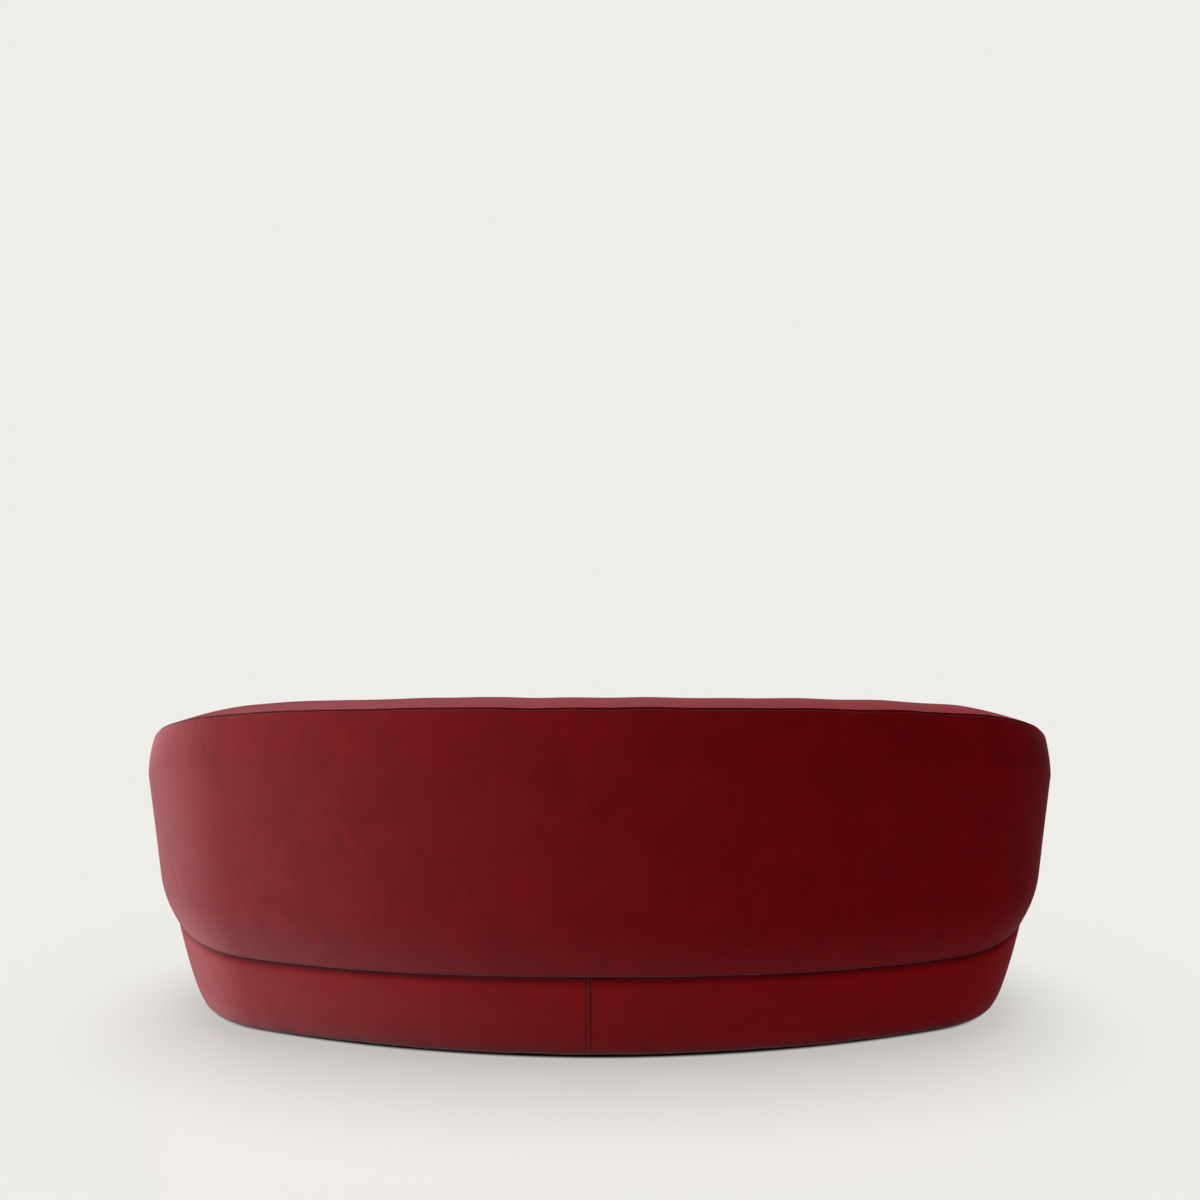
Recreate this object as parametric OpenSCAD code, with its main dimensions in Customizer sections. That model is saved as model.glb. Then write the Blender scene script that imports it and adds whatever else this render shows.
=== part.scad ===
/* [Overall] */
// Width across the widest point of the arms
sofa_w = 2100; // [1900:10:2400]
// Height of the top seam at the middle of the back
seam_h = 748; // [700:2:800]
// Height of the seat at the edge seam of the cushion
seat_h = 414; // [390:2:430]
// Gap between the floor and the underside, set by the glides
glide_h = 7; // [4:1:20]

/* [Plan outline] */
// Radius of the outline at the rear corners
rear_corner_r = 400; // [360:5:440]
// Angle over which the rear arc turns, from the middle to the corner
rear_turn = 22.5; // [18:0.5:28]
// Radius of the outline at the front corners
front_corner_r = 330; // [300:5:360]
// Angle over which the front arc turns, from the middle to the corner
front_turn = 20; // [16:0.5:24]
// Angle past the widest point at which each arm ends
arm_end_turn = 62; // [54:1:64]

/* [Backrest] */
// Height of the lower edge of the backrest
lip_h = 193; // [182:1:200]
// Fall of the top seam from the middle of the back to the widest point
arm_fall = 181; // [120:1:200]
// Height of the top seam where an arm ends
arm_end_h = 475; // [465:1:490]
// Crown of the top face above the seam
top_crown = 10; // [4:1:20]
// Height of the roll over the inner top edge
top_roll = 60; // [40:1:75]
// Inward lean of the outer face below its widest level
foot_lean = 38; // [30:1:44]
// Inset of the top seam from the widest level
seam_in = 12; // [6:1:30]
// Thickness at the top, middle of the back
back_top_t = 172; // [160:1:200]
// Thickness at the seat, middle of the back
back_seat_t = 250; // [235:1:262]
// Thickness at the top of the arms
arm_top_t = 142; // [135:1:150]
// Thickness at the seat, arms
arm_seat_t = 186; // [178:1:200]

/* [Base] */
// Inset of the skirt at the floor
skirt_in_floor = 129; // [122:1:138]
// Inset of the skirt at its reference height
skirt_in_top = 60; // [55:1:64]
// Height of the top edge of the skirt
skirt_h = 254; // [244:1:264]
// Offset of the rear skirt seam from the middle
skirt_seam_x = 24; // [-60:1:60]
// Width of the felled rear seam
skirt_seam_w = 10; // [6:1:14]
// Thickness of the deck pad on the webbing
deck_pad_t = 17; // [14:1:22]
// Thickness of the plywood rings, rails and ribs
ply_t = 18; // [15:1:21]
// Width of the base rings
ring_w = 115; // [105:1:125]
// Side of a base upright
upright_w = 36; // [30:1:38]
// Width of a cross beam
beam_w = 45; // [35:1:60]
// Height of a cross beam
beam_h = 70; // [50:1:90]
// Diameter of a glide
glide_d = 50; // [40:1:60]
// Diameter of the shank of a glide screw
glide_screw_d = 4; // [3.5:0.5:5]

/* [Upholstery] */
// Thickness of the velvet with its backing
velvet_t = 1.6; // [1.2:0.1:2]
// Thickness of the lining cloths
lining_t = 1.5; // [1:0.1:1.8]
// Foam over the outer boards
outer_foam_t = 10; // [8:1:12]
// Foam under the skirt
skirt_foam_t = 8; // [6:1:9]
// Thickness of the bent boards
board_t = 3; // [2.5:0.5:4]
// Thickness of an end panel of an arm
facing_t = 4; // [3:0.5:5]
// Thickness of a webbing strap
strap_t = 2; // [1.6:0.1:2.2]
// Width of a webbing strap
strap_w = 70; // [50:1:80]

/* [Seat cushion] */
// Inset of the front edge of the cushion
cushion_front_in = 46; // [40:1:52]
// Gap between the cushion and the backrest
cushion_gap = 6; // [5.5:0.5:9]
// Crown of the top panel above its edge seam
cushion_crown = 22; // [10:1:30]
// Depth of the fibre layer at the edge of the cushion
fibre_edge = 14; // [12:1:20]
// Radius of the piping
piping_r = 3; // [2.5:0.1:3.5]

/* [Fasteners] */
// Thread diameter of the bolts that join backrest and base
bolt_d = 8; // [6:1:10]
// Width of a bolt head across the flats
bolt_head_w = 13; // [11:1:16]
// Diameter of the washers
washer_d = 24; // [20:1:26]

/* [Hidden] */
NODES = concat(
    ["glides", "glide_screws", "dust_cover", "base_bottom_ring", "base_uprights", "base_top_ring",
     "cross_beam_left", "cross_beam_centre", "cross_beam_right", "base_facing_board",
     "skirt_foam", "skirt_cover", "skirt_back_seam",
     "webbing_front_to_back", "webbing_side_to_side", "deck_pad", "deck_lining",
     "back_sill_rail", "back_bolts", "back_washers", "back_nuts",
     "back_top_rail", "back_outer_board", "back_inner_board"],
    [for (i = [1:13]) str("back_rib_", i)],
    ["back_outer_foam", "back_inner_foam", "back_top_foam",
     "arm_end_foam_left", "arm_end_foam_right",
     "back_outer_cover", "back_inner_cover", "arm_facing_left", "arm_facing_right",
     "cushion_foam_core", "cushion_fibre_layer", "cushion_top_panel", "cushion_border",
     "cushion_bottom_panel", "cushion_piping_top", "cushion_piping_bottom",
     "cushion_zip", "cushion_zip_slider"]);
node = "all";
$fn = 48;

// Clearances
slip = 0.4;      // between layers that lie on each other
seat_slip = 1;   // between the backrest and what it stands over
warp_slip = 1.5; // between the flat ribs and the warped board over them
foam_slip = 0.9; // between the inner board and the foam in front of it
rib_slip = 1.3;  // between the ribs and the outer board behind them

// Colours
velvet = "#7a1620";
foam = "#e9dfc0";
fibre = "#f2f1ec";
ply = "#c9a36a";
board = "#8a6b45";
black_cloth = "#1b1b1d";
strap = "#2b2a28";
steel = "#a9adb1";
glide_black = "#111112";

// The outline: four arcs a side, each known by the angle t of its outward normal,
// 90 at the middle of the back, 0 at the widest point, -90 at the middle of the front
half_w = sofa_w / 2;
rear_arc_r = rear_corner_r + (half_w - rear_corner_r) / sin(rear_turn);
front_arc_r = front_corner_r + (half_w - front_corner_r) / sin(front_turn);
rear_reach = rear_arc_r - (rear_arc_r - rear_corner_r) * cos(rear_turn);
front_reach = front_arc_r - (front_arc_r - front_corner_r) * cos(front_turn);
wide_y = (front_reach - cushion_front_in - rear_reach) / 2;
arm_end = -arm_end_turn;

function mix(a, b, k) = a + (b - a) * k;
function clamp01(x) = min(1, max(0, x));
function smooth(x) = let (c = clamp01(x)) c * c * (3 - 2 * c);
function mirrored(t) = t > 90 ? 180 - t : t;
function arc_centre(t) =
    t >= 90 - rear_turn ? [0, wide_y + rear_reach - rear_arc_r] :
    t >= 0 ? [half_w - rear_corner_r, wide_y] :
    t >= front_turn - 90 ? [half_w - front_corner_r, wide_y] :
    [0, wide_y - front_reach + front_arc_r];
function arc_r(t) =
    t >= 90 - rear_turn ? rear_arc_r :
    t >= 0 ? rear_corner_r :
    t >= front_turn - 90 ? front_corner_r : front_arc_r;
function half_plan(t, inset) = arc_centre(t) + (arc_r(t) - inset) * [cos(t), sin(t)];
function plan(t, inset) =
    t > 90 ? let (p = half_plan(180 - t, inset)) [-p.x, p.y] : half_plan(t, inset);
function at(t, p) = let (q = plan(t, p.x)) [q.x, q.y, p.y];

// Angles of the stations round the outline
rear_angles = [for (k = [0:6]) 90 - rear_turn * k / 6];
side_angles = [for (k = [1:9]) (90 - rear_turn) * (1 - k / 9)];
nose_turn = 8;
frame_end = arm_end + nose_turn + 6;
arm_angles = [for (k = [1:5]) frame_end * k / 5];
nose_angles = concat([arm_end + nose_turn],
    [for (k = [1:4]) arm_end + nose_turn * (1 - sin(22.5 * k))]);
front_angles = concat(arm_angles, [arm_end + nose_turn, arm_end, front_turn - 90],
    [for (k = [1:7]) front_turn - 90 - front_turn * k / 7]);
function both_sides(half) = concat(
    [for (i = [len(half) - 1:-1:0]) half[i]], [for (i = [1:len(half) - 1]) 180 - half[i]]);
shell_angles = both_sides(concat(rear_angles, side_angles, arm_angles, nose_angles));
frame_angles = both_sides(concat(rear_angles, side_angles, arm_angles));
loop_angles = concat(
    rear_angles, side_angles, front_angles,
    [for (i = [len(front_angles) - 2:-1:0]) 180 - front_angles[i]],
    [for (i = [len(side_angles) - 1:-1:0]) 180 - side_angles[i]],
    [for (i = [len(rear_angles) - 1:-1:1]) 180 - rear_angles[i]]);

// Polyhedra between rings of points. Each patch is split along its shorter diagonal, so
// that layers that lie on each other are split alike
function patches(rings, wraps) = let (n = len(rings), m = len(rings[0])) [
    for (i = [0:n - (wraps ? 1 : 2)], j = [0:m - 1])
        let (k = (i + 1) % n, l = (j + 1) % m,
             a = i * m + j, b = i * m + l, c = k * m + l, d = k * m + j)
            each norm(rings[i][j] - rings[k][l]) <= norm(rings[i][l] - rings[k][j])
                ? [[a, c, b], [a, d, c]] : [[a, d, b], [b, d, c]]];
module loft(rings) {
    n = len(rings);
    m = len(rings[0]);
    polyhedron([for (r = rings) each r],
        concat(patches(rings, false),
               [[for (j = [0:m - 1]) j]], [[for (j = [m - 1:-1:0]) (n - 1) * m + j]]));
}
module ring_loft(rings) {
    polyhedron([for (r = rings) each r], patches(rings, true));
}
// A loft whose rings are two facing lines, so that its ends close in steps between them
module band_loft(rings) {
    n = len(rings);
    m = len(rings[0]);
    polyhedron([for (r = rings) each r],
        concat(patches(rings, false),
               [for (j = [0:m / 2 - 2]) [j, j + 1, m - 2 - j, m - 1 - j]],
               [for (j = [0:m / 2 - 2], e = (n - 1) * m) [e + m - 1 - j, e + m - 2 - j, e + j + 1, e + j]]));
}
// Flat outlines in plan: an open strip between two insets, and the whole outline
module strip(angles, outer_in, inner_in) {
    polygon(concat([for (t = angles) plan(t, outer_in)],
        [for (i = [len(angles) - 1:-1:0]) plan(angles[i], inner_in)]));
}
module disc(inset) {
    polygon([for (t = loop_angles) plan(t, inset)]);
}

// An open line of points moved to its right by d
function right_of(a, b) = let (v = b - a) [v.y, -v.x] / norm(v);
function moved(pts, d) = [
    for (i = [0:len(pts) - 1])
        let (n0 = right_of(pts[max(i - 1, 0)], pts[max(i, 1)]),
             n1 = right_of(pts[min(i, len(pts) - 2)], pts[min(i + 1, len(pts) - 1)]))
            pts[i] + d * (n0 + n1) / (1 + n0 * n1)];
function reversed(list) = [for (i = [len(list) - 1:-1:0]) list[i]];

// The skirt
skirt_ref = 219;     // height over which the skirt draws in
skirt_curve = 0.69;  // how full the skirt is towards the floor
skirt_low = glide_h + 4;
function skirt_in(z) = skirt_in_floor
    - (skirt_in_floor - skirt_in_top) * pow(max(0, z - skirt_low) / skirt_ref, skirt_curve);
skirt_levels = [for (k = [0, 0.06, 0.2, 0.45, 0.75, 1]) mix(skirt_low, skirt_h, k)];
function skirt_at(z) = lookup(z, [for (l = skirt_levels) [l, skirt_in(l)]]);

// The backrest in section: inset from the outline against height
// The top seam falls with the distance d forward of the back, softly at first, and
// levels out again past the widest point
fall_start = 100;
fall_soft = 300;
function hinge(d) = (d - fall_start + norm([d - fall_start, fall_soft])) / 2;
fall_k = arm_fall / (hinge(rear_reach) - hinge(0));
wide_slope = fall_k * (1 + (rear_reach - fall_start)
    / norm([rear_reach - fall_start, fall_soft])) / 2;
end_d = front_corner_r * sin(arm_end_turn);
end_ease = (arm_end_h - seam_h + arm_fall + wide_slope * end_d) / pow(end_d, 2);
function seam_z(t) = let (d = wide_y - half_plan(mirrored(t), 0).y) d < 0 ?
    seam_h - fall_k * (hinge(rear_reach + d) - hinge(0)) :
    seam_h - arm_fall - wide_slope * d + end_ease * d * d;
function backness(t) = smooth((mirrored(t) - 8) / 60);
function top_in(t) = mix(arm_top_t, back_top_t, backness(t));
function seat_in(t) = mix(arm_seat_t, back_seat_t, backness(t));
hem_t = 1.3 * velvet_t;  // the folded edge of the outer cover
lip_in = skirt_in(lip_h) - hem_t - slip;
roll_f = 0.26;       // share of the outer face taken by the foot roll
wide_f = 0.8;        // share of the height at which the outer face is widest
function wall_in(f) =
    foot_lean * max(0, 1 - f / wide_f)
    + (lip_in - foot_lean) * pow(max(0, 1 - f / roll_f), wall_roll)
    + seam_in * pow(max(0, (f - wide_f) / (1 - wide_f)), 2);
wall_roll = 1.7;     // how tightly the foot rolls
wall_f = [0, 0.03, 0.07, 0.12, 0.18, 0.26, 0.44, 0.62, 0.8, 0.88, 0.94, 1];
function wall_line(t) = [for (f = wall_f) [wall_in(f), mix(lip_h, seam_z(t), f)]];
ridge_g = 0.45;      // share of the top face at which it is highest
roll_n = 2.6;        // how square the roll over the inner edge is
function top_rise(g) = g < ridge_g ? top_crown * sin(90 * g / ridge_g) :
    top_crown - (top_crown + top_roll)
    * (1 - pow(1 - pow((g - ridge_g) / (1 - ridge_g), roll_n), 1 / roll_n));
top_g = [0, 0.1, 0.25, 0.45, 0.65, 0.8, 0.9, 0.97, 1];
function top_line(t) = [for (g = top_g)
    [mix(seam_in, top_in(t), g), seam_z(t) + top_rise(g)]];
// The inner face leans back from its knee at the seat, a little hollow in between
knee_drop = 25;
function knee_z(t) = min(seat_h, seam_z(t) - top_roll - knee_drop);
deck_pad_z = skirt_h - deck_pad_t;
sill_z = deck_pad_z - slip - 2 * strap_t;    // top of the base
foam_low = deck_pad_z + slip;
foot_step = 1;
function face_line(t) = let (z0 = seam_z(t) - top_roll, z1 = knee_z(t)) [
    [mix(top_in(t), seat_in(t), 0.25), mix(z0, z1, 0.3)],
    [mix(top_in(t), seat_in(t), 0.62), mix(z0, z1, 0.65)],
    [seat_in(t), z1], [seat_in(t) + foot_step, foam_low]];
// The last stretch of each arm rounds in towards its end panel
nose_mid = 84;
nose_dip = 60;
nose_draw = 0.3;
function nose_k(t) = let (v = clamp01((mirrored(t) - arm_end) / nose_turn))
    1 - nose_draw * (1 - sqrt(1 - pow(1 - v, 2)));
function nosed(t, line) = let (c = 1 - nose_k(t)) [for (p = line)
    [mix(p.x, nose_mid, c * clamp01((p.y - lip_h) / (shoulder_z - lip_h))),
     p.y - c * nose_dip * clamp01((p.y - skirt_h) / (seam_z(t) - skirt_h))]];
function outer_line(t) = nosed(t, wall_line(t));
function upper_line(t) = nosed(t, concat(top_line(t), face_line(t)));

// What the backrest frame fills
rail_drop = 32;      // top rail below the seam
frame_in = velvet_t + outer_foam_t + board_t + 3 * slip;
sill_out = 80;
sill_in = 126;
shoulder_z = skirt_h + 8;    // where the ribs reach out over the skirt
shoulder_low = shoulder_z - 4;
rib_top_arm = 84;
rib_top_back = 104;
function rib_top_in(t) = mix(rib_top_arm, rib_top_back, backness(t));
function rail_top(t) = seam_z(t) - rail_drop;
function slope(t) = let (a = plan(t, frame_in), b = plan(t + 1, frame_in))
    abs(seam_z(t + 1) - seam_z(t)) / norm(b - a);
function rib_top(t) = rail_top(t) - ply_t * (1 + 0.65 * slope(t)) - slip;
function wall_at(t, z) = lookup(z, [for (p = wall_line(t)) [p.y, p.x]]);
board_k = [0, 0.25, 0.5, 0.75, 1];
function frame_line(t) = [for (k = board_k)
    let (z = mix(shoulder_z, rail_top(t), k)) [wall_at(t, z) + frame_in, z]];
function behind_board(t, z) = lookup(z, [for (p = frame_line(t)) [p.y, p.x + rib_slip]]);
function rib_in_at(t, z) = let (foot = sill_z + ply_t)
    mix(sill_in, rib_top_in(t), (z - foot) / (rail_top(t) - foot));

// Pieces of the base
module base_ring(z, inset) {
    translate([0, 0, z]) linear_extrude(ply_t) difference() {
        disc(inset);
        disc(inset + ring_w);
    }
}
bottom_ring_z = glide_h + lining_t;
bottom_ring_in = skirt_in(skirt_low) + velvet_t + skirt_foam_t + board_t + 3 * slip;
top_ring_z = sill_z - ply_t;
top_ring_in = skirt_at(top_ring_z) + velvet_t + skirt_foam_t + board_t + 3 * slip;
glide_in = bottom_ring_in + ring_w / 2;
glide_angles = [90, 76, 40, 0, -50, -79];
glide_spots = [for (t = glide_angles, s = t == 90 ? [1] : [-1, 1])
    let (p = plan(t, glide_in)) [s * p.x, p.y]];
glide_edge = 2;
screw_len = 14;      // grip of a glide screw in the ring
screw_low = 1;
screw_head_d = 2 * glide_screw_d;
screw_seat = glide_h / 2;
module glides() color(glide_black)
    for (p = glide_spots) translate(p) difference() {
        rotate_extrude() polygon([[0, 0], [glide_d / 2 - glide_edge, 0], [glide_d / 2, glide_edge],
            [glide_d / 2, glide_h], [0, glide_h]]);
        translate([0, 0, -1]) cylinder(d = glide_screw_d + 2 * slip, h = glide_h + 2);
        translate([0, 0, -1]) cylinder(d = screw_head_d + 2 * slip, h = screw_seat + 1);
    }
module glide_screws() color(steel)
    for (p = glide_spots) translate([p.x, p.y, screw_low]) {
        cylinder(d = glide_screw_d, h = bottom_ring_z + screw_len - screw_low);
        cylinder(d = screw_head_d, h = screw_seat - screw_low - slip);
    }
module screw_holes(z, h) {
    for (p = glide_spots) translate([p.x, p.y, z]) cylinder(d = glide_screw_d + 2 * slip, h = h);
}
dust_in = 12;
module dust_cover() color(black_cloth) difference() {
    translate([0, 0, glide_h]) linear_extrude(lining_t) disc(bottom_ring_in + dust_in);
    screw_holes(glide_h - 1, lining_t + 2);
}
module base_bottom_ring() color(ply) difference() {
    base_ring(bottom_ring_z, bottom_ring_in);
    screw_holes(bottom_ring_z - 1, screw_len + 2);
}
upright_in = 182;
upright_angles = [87, 79, 68, 44, 20, -4, -28, -52, -74, -83];
module base_uprights() color(ply)
    for (t = upright_angles, s = [-1, 1]) {
        p = plan(t, upright_in);
        translate([s * p.x, p.y, bottom_ring_z + ply_t]) rotate(s > 0 ? t : 180 - t)
            translate([-upright_w / 2, -upright_w / 2, 0])
                cube([upright_w, upright_w, top_ring_z - bottom_ring_z - ply_t]);
    }
bolt_in = (sill_out + sill_in) / 2;
bolt_angles = [85, 73, 54, 26, -2, -30];
bolt_spots = [for (t = bolt_angles, s = [-1, 1]) let (p = plan(t, bolt_in)) [s * p.x, p.y]];
module bolt_holes(z, h) {
    for (p = bolt_spots) translate([p.x, p.y, z]) cylinder(d = bolt_d + 2 * slip, h = h);
}
module base_top_ring() color(ply) difference() {
    base_ring(top_ring_z, top_ring_in);
    bolt_holes(top_ring_z - 1, ply_t + 2);
}
// The outer beams stand midway between the uprights beside them
beam_x = (plan(upright_angles[1], upright_in).x + plan(upright_angles[8], upright_in).x) / 2;
beam_cut_in = bottom_ring_in + ply_t;
module cross_beam(x) color(ply) translate([0, 0, bottom_ring_z + ply_t]) linear_extrude(beam_h)
    intersection() {
        translate([x - beam_w / 2, -sofa_w]) square([beam_w, 2 * sofa_w]);
        disc(beam_cut_in);
    }
// The levels of a layer between its own lower and upper edge
function clipped(levels, low, high) = let (kept = [for (z = levels) min(max(z, low), high)])
    [for (i = [0:len(kept) - 1]) if (i == 0 || kept[i] > kept[i - 1]) kept[i]];
module skirt_layer(out, thick, levels) {
    ring_loft([for (t = loop_angles) concat(
        [for (z = levels) at(t, [skirt_at(z) + out, z])],
        [for (z = reversed(levels)) at(t, [skirt_at(z) + out + thick, z])])]);
}
hem_rise = 2;        // each layer stops short of the one over it
board_levels = [for (z = skirt_levels) if (z != skirt_levels[1]) z];
module base_facing_board() color(board)
    skirt_layer(velvet_t + skirt_foam_t + 2 * slip, board_t,
        clipped(board_levels, skirt_low + 2 * hem_rise, sill_z));
module skirt_foam_ring() color(foam)
    skirt_layer(velvet_t + slip, skirt_foam_t,
        clipped(skirt_levels, skirt_low + hem_rise, skirt_h));
module skirt_cover() color(velvet)
    skirt_layer(0, velvet_t, skirt_levels);
// The felled seam follows the skirt from the floor edge up to the backrest, and thins out
// to its two stitched edges
module skirt_back_seam() color(velvet) {
    t0 = 90 - asin(skirt_seam_x / rear_arc_r);
    half = asin(skirt_seam_w / 2 / rear_arc_r);
    levels = clipped(skirt_levels, skirt_low, lip_h - hem_rise);
    band_loft([for (s = [[-1, 0.25], [-0.6, 1], [0.6, 1], [1, 0.25]]) let (t = t0 - s.x * half) concat(
        [for (z = levels) at(t, [skirt_at(z) - slip - velvet_t * s.y, z])],
        [for (z = reversed(levels)) at(t, [skirt_at(z) - slip, z])])]);
}

// Webbing and deck
strap_in = 146;
strap_pitch = 112;
strap_count = 15;
cross_pitch = 118;
cross_count = 4;
webbing_y = wide_y + 14;
module webbing_front_to_back() color(strap) translate([0, 0, sill_z]) linear_extrude(strap_t)
    intersection() {
        for (i = [0:strap_count - 1])
            translate([(i - (strap_count - 1) / 2) * strap_pitch - strap_w / 2, -sofa_w])
                square([strap_w, 2 * sofa_w]);
        disc(strap_in);
    }
module webbing_side_to_side() color(strap) translate([0, 0, sill_z + strap_t])
    linear_extrude(strap_t) intersection() {
        for (i = [0:cross_count - 1])
            translate([-sofa_w, webbing_y + (i - (cross_count - 1) / 2) * cross_pitch - strap_w / 2])
                square([2 * sofa_w, strap_w]);
        disc(strap_in);
    }
// The deck fills what the backrest leaves free, and runs out to the skirt at the front
deck_step = arm_end - 2;
deck_angles = concat(rear_angles, side_angles, arm_angles,
    [arm_end + nose_turn, arm_end, deck_step]);
front_deck_angles = concat([deck_step - 0.3],
    [for (t = front_angles) if (t < deck_step - 1) t]);
function deck_half(front_in) = concat(
    [for (t = deck_angles) plan(t, seat_in(t) + foot_step + seat_slip)],
    [for (t = front_deck_angles) plan(t, front_in)]);
function mirrored_outline(half) = concat(half,
    [for (i = [len(half) - 2:-1:1]) [-half[i].x, half[i].y]]);
module deck_pad() color(foam) translate([0, 0, deck_pad_z]) linear_extrude(deck_pad_t)
    polygon(mirrored_outline(deck_half(skirt_at(deck_pad_z) + velvet_t + skirt_foam_t + 3 * slip)));
deck_top = skirt_h + slip + lining_t;
module deck_lining() color(black_cloth) translate([0, 0, skirt_h + slip]) linear_extrude(lining_t)
    polygon(mirrored_outline(deck_half(skirt_at(skirt_h) + slip)));

// Frame of the backrest
module back_sill_rail() color(ply) translate([0, 0, sill_z]) difference() {
    linear_extrude(ply_t) strip(frame_angles, sill_out, sill_in);
    bolt_holes(-1, ply_t + 2);
}
nut_h = 7;
head_h = 5;
washer_t = 2;
bolt_tail = 3;
bolt_len = 2 * ply_t + 2 * washer_t + nut_h + bolt_tail;
bolt_z = top_ring_z - washer_t;
module hexagon(w, h) {
    cylinder(d = w / cos(30), h = h, $fn = 6);
}
module back_bolts() color(steel)
    for (p = bolt_spots) translate([p.x, p.y, sill_z + ply_t + washer_t]) {
        hexagon(bolt_head_w, head_h);
        translate([0, 0, -bolt_len]) cylinder(d = bolt_d, h = bolt_len);
    }
module washer() {
    difference() {
        cylinder(d = washer_d, h = washer_t);
        translate([0, 0, -1]) cylinder(d = bolt_d + slip, h = washer_t + 2);
    }
}
module back_washers() color(steel)
    for (p = bolt_spots, z = [bolt_z, sill_z + ply_t]) translate([p.x, p.y, z]) washer();
module back_nuts() color(steel)
    for (p = bolt_spots) translate([p.x, p.y, bolt_z - nut_h]) difference() {
        hexagon(bolt_head_w, nut_h);
        translate([0, 0, -1]) cylinder(d = bolt_d + slip / 4, h = nut_h + 2);
    }
rib_angles = [rear_angles[0], rear_angles[3], rear_angles[6], side_angles[3], side_angles[7],
    arm_angles[1], arm_angles[3]];
function rib_angle(i) = i == 1 ? rib_angles[0] :
    i % 2 == 0 ? rib_angles[i / 2] : 180 - rib_angles[(i - 1) / 2];
function rib_line(t) = let (top = rib_top(t))
    concat([[sill_out, sill_z + ply_t], [sill_out, shoulder_low]],
        [for (p = frame_line(t)) if (p.y < top - 1) [p.x + rib_slip, p.y]],
        [[behind_board(t, top), top], [rib_in_at(t, top), top], [sill_in, sill_z + ply_t]]);
module back_rib(i) color(ply) {
    t = rib_angle(i);
    m = mirrored(t);
    c = arc_centre(m);
    translate([t > 90 ? -c.x : c.x, c.y, 0]) rotate([90, 0, t])
        translate([0, 0, -ply_t / 2]) linear_extrude(ply_t)
            polygon([for (p = rib_line(m)) [arc_r(m) - p.x, p.y]]);
}
module back_top_rail() color(ply)
    loft([for (t = reversed(frame_angles)) let (z = rail_top(t), low = z - ply_t) [
        at(t, [behind_board(t, low), low]), at(t, [behind_board(t, z), z]),
        at(t, [rib_in_at(t, z), z]), at(t, [rib_in_at(t, low), low])]]);
module back_outer_board() color(board)
    loft([for (t = reversed(frame_angles)) let (line = frame_line(t))
        concat([for (p = line) at(t, p - [board_t, 0])], [for (p = reversed(line)) at(t, p)])]);
module back_inner_board() color(board)
    loft([for (t = reversed(frame_angles))
        let (z0 = sill_z + ply_t + slip, z1 = rail_top(t),
             a = rib_in_at(t, z0) + warp_slip, b = rib_in_at(t, z1) + warp_slip) [
        at(t, [a, z0]), at(t, [b, z1]), at(t, [b + board_t, z1]), at(t, [a + board_t, z0])]]);

// Foam and cover of the backrest
under_cover = velvet_t + slip;
lip_foam_z = lip_h + 16;
lip_back = [for (z = [shoulder_low, skirt_h, lip_foam_z]) [skirt_at(z) - seat_slip, z]];
// The shares of the outer face that lie between the hem and the top rail all round
foam_f = [for (f = wall_f) if (f > 0.1 && f < 0.88) f];
module back_outer_foam() color(foam)
    loft([for (t = reversed(frame_angles)) let (
        top = rail_top(t),
        levels = concat([lip_foam_z], [for (f = foam_f) mix(lip_h, seam_z(t), f)], [top]))
        concat([for (z = levels) at(t, [wall_at(t, z) + under_cover, z])],
            [for (p = reversed(frame_line(t))) at(t, p - [board_t + slip, 0])],
            [for (p = lip_back) at(t, p)])]);
// The inner foam is a pad on the inner board, with a cap over it and the top rail
function cap_z(t) = rail_top(t) + warp_slip;
roll_end = len(top_g) - 1;
function roll_x(line, z) = lookup(z, [for (i = [roll_end, roll_end - 1]) [line[i].y, line[i].x]]);
function pad_x(t, z) = rib_in_at(t, z) + warp_slip + board_t + foam_slip;
module back_inner_foam() color(foam)
    loft([for (t = reversed(frame_angles))
        let (line = moved(upper_line(t), under_cover), n = len(line) - 1, z = cap_z(t) - slip)
        concat([at(t, [roll_x(line, z), z])],
            [for (i = [roll_end:n - 1]) at(t, line[i])],
            [at(t, [line[n].x, foam_low]), at(t, [pad_x(t, foam_low), foam_low]),
             at(t, [pad_x(t, z), z])])]);
module back_top_foam() color(foam)
    loft([for (t = reversed(frame_angles))
        let (line = moved(upper_line(t), under_cover), z = cap_z(t))
        concat([at(t, [seam_in + under_cover, seam_z(t) - under_cover])],
            [for (i = [1:roll_end - 1]) at(t, line[i])],
            [for (x = [roll_x(line, z), pad_x(t, z - slip), rib_in_at(t, rail_top(t)),
                behind_board(t, rail_top(t)), wall_at(t, z) + under_cover]) at(t, [x, z])])]);
end_angles = concat([frame_end - 0.3], nose_angles);
// The whole section of an arm, drawn in by gap, down to low behind the skirt
function end_section(t, gap, low) = let (
    outer = moved(outer_line(t), gap), upper = moved(upper_line(t), gap), n = len(outer) - 1,
    swap = [for (p = outer) [p.y, p.x]], inner_x = upper[len(upper) - 1].x)
    concat([[lookup(lip_foam_z, swap), lip_foam_z]],
        [for (i = [3:n - 1]) outer[i]],
        [[outer[n].x, upper[0].y]],
        [for (i = [1:len(upper) - 2]) upper[i]],
        [[inner_x, low]],
        low < shoulder_low ? [[sill_out - 2, low], [sill_out - 2, shoulder_low]] : [],
        lip_back);
module arm_end_foam(side) color(foam) mirror([side > 0 ? 0 : 1, 0, 0])
    loft([for (t = end_angles) [for (p = end_section(t, under_cover, foam_low)) at(t, p)]]);
module back_outer_cover() color(velvet)
    loft([for (t = reversed(shell_angles)) let (line = outer_line(t))
        concat([for (p = line) at(t, p)],
            [for (p = reversed(moved(line, velvet_t)))
                at(t, [p.x, min(p.y, line[len(line) - 1].y)])])]);
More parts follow.
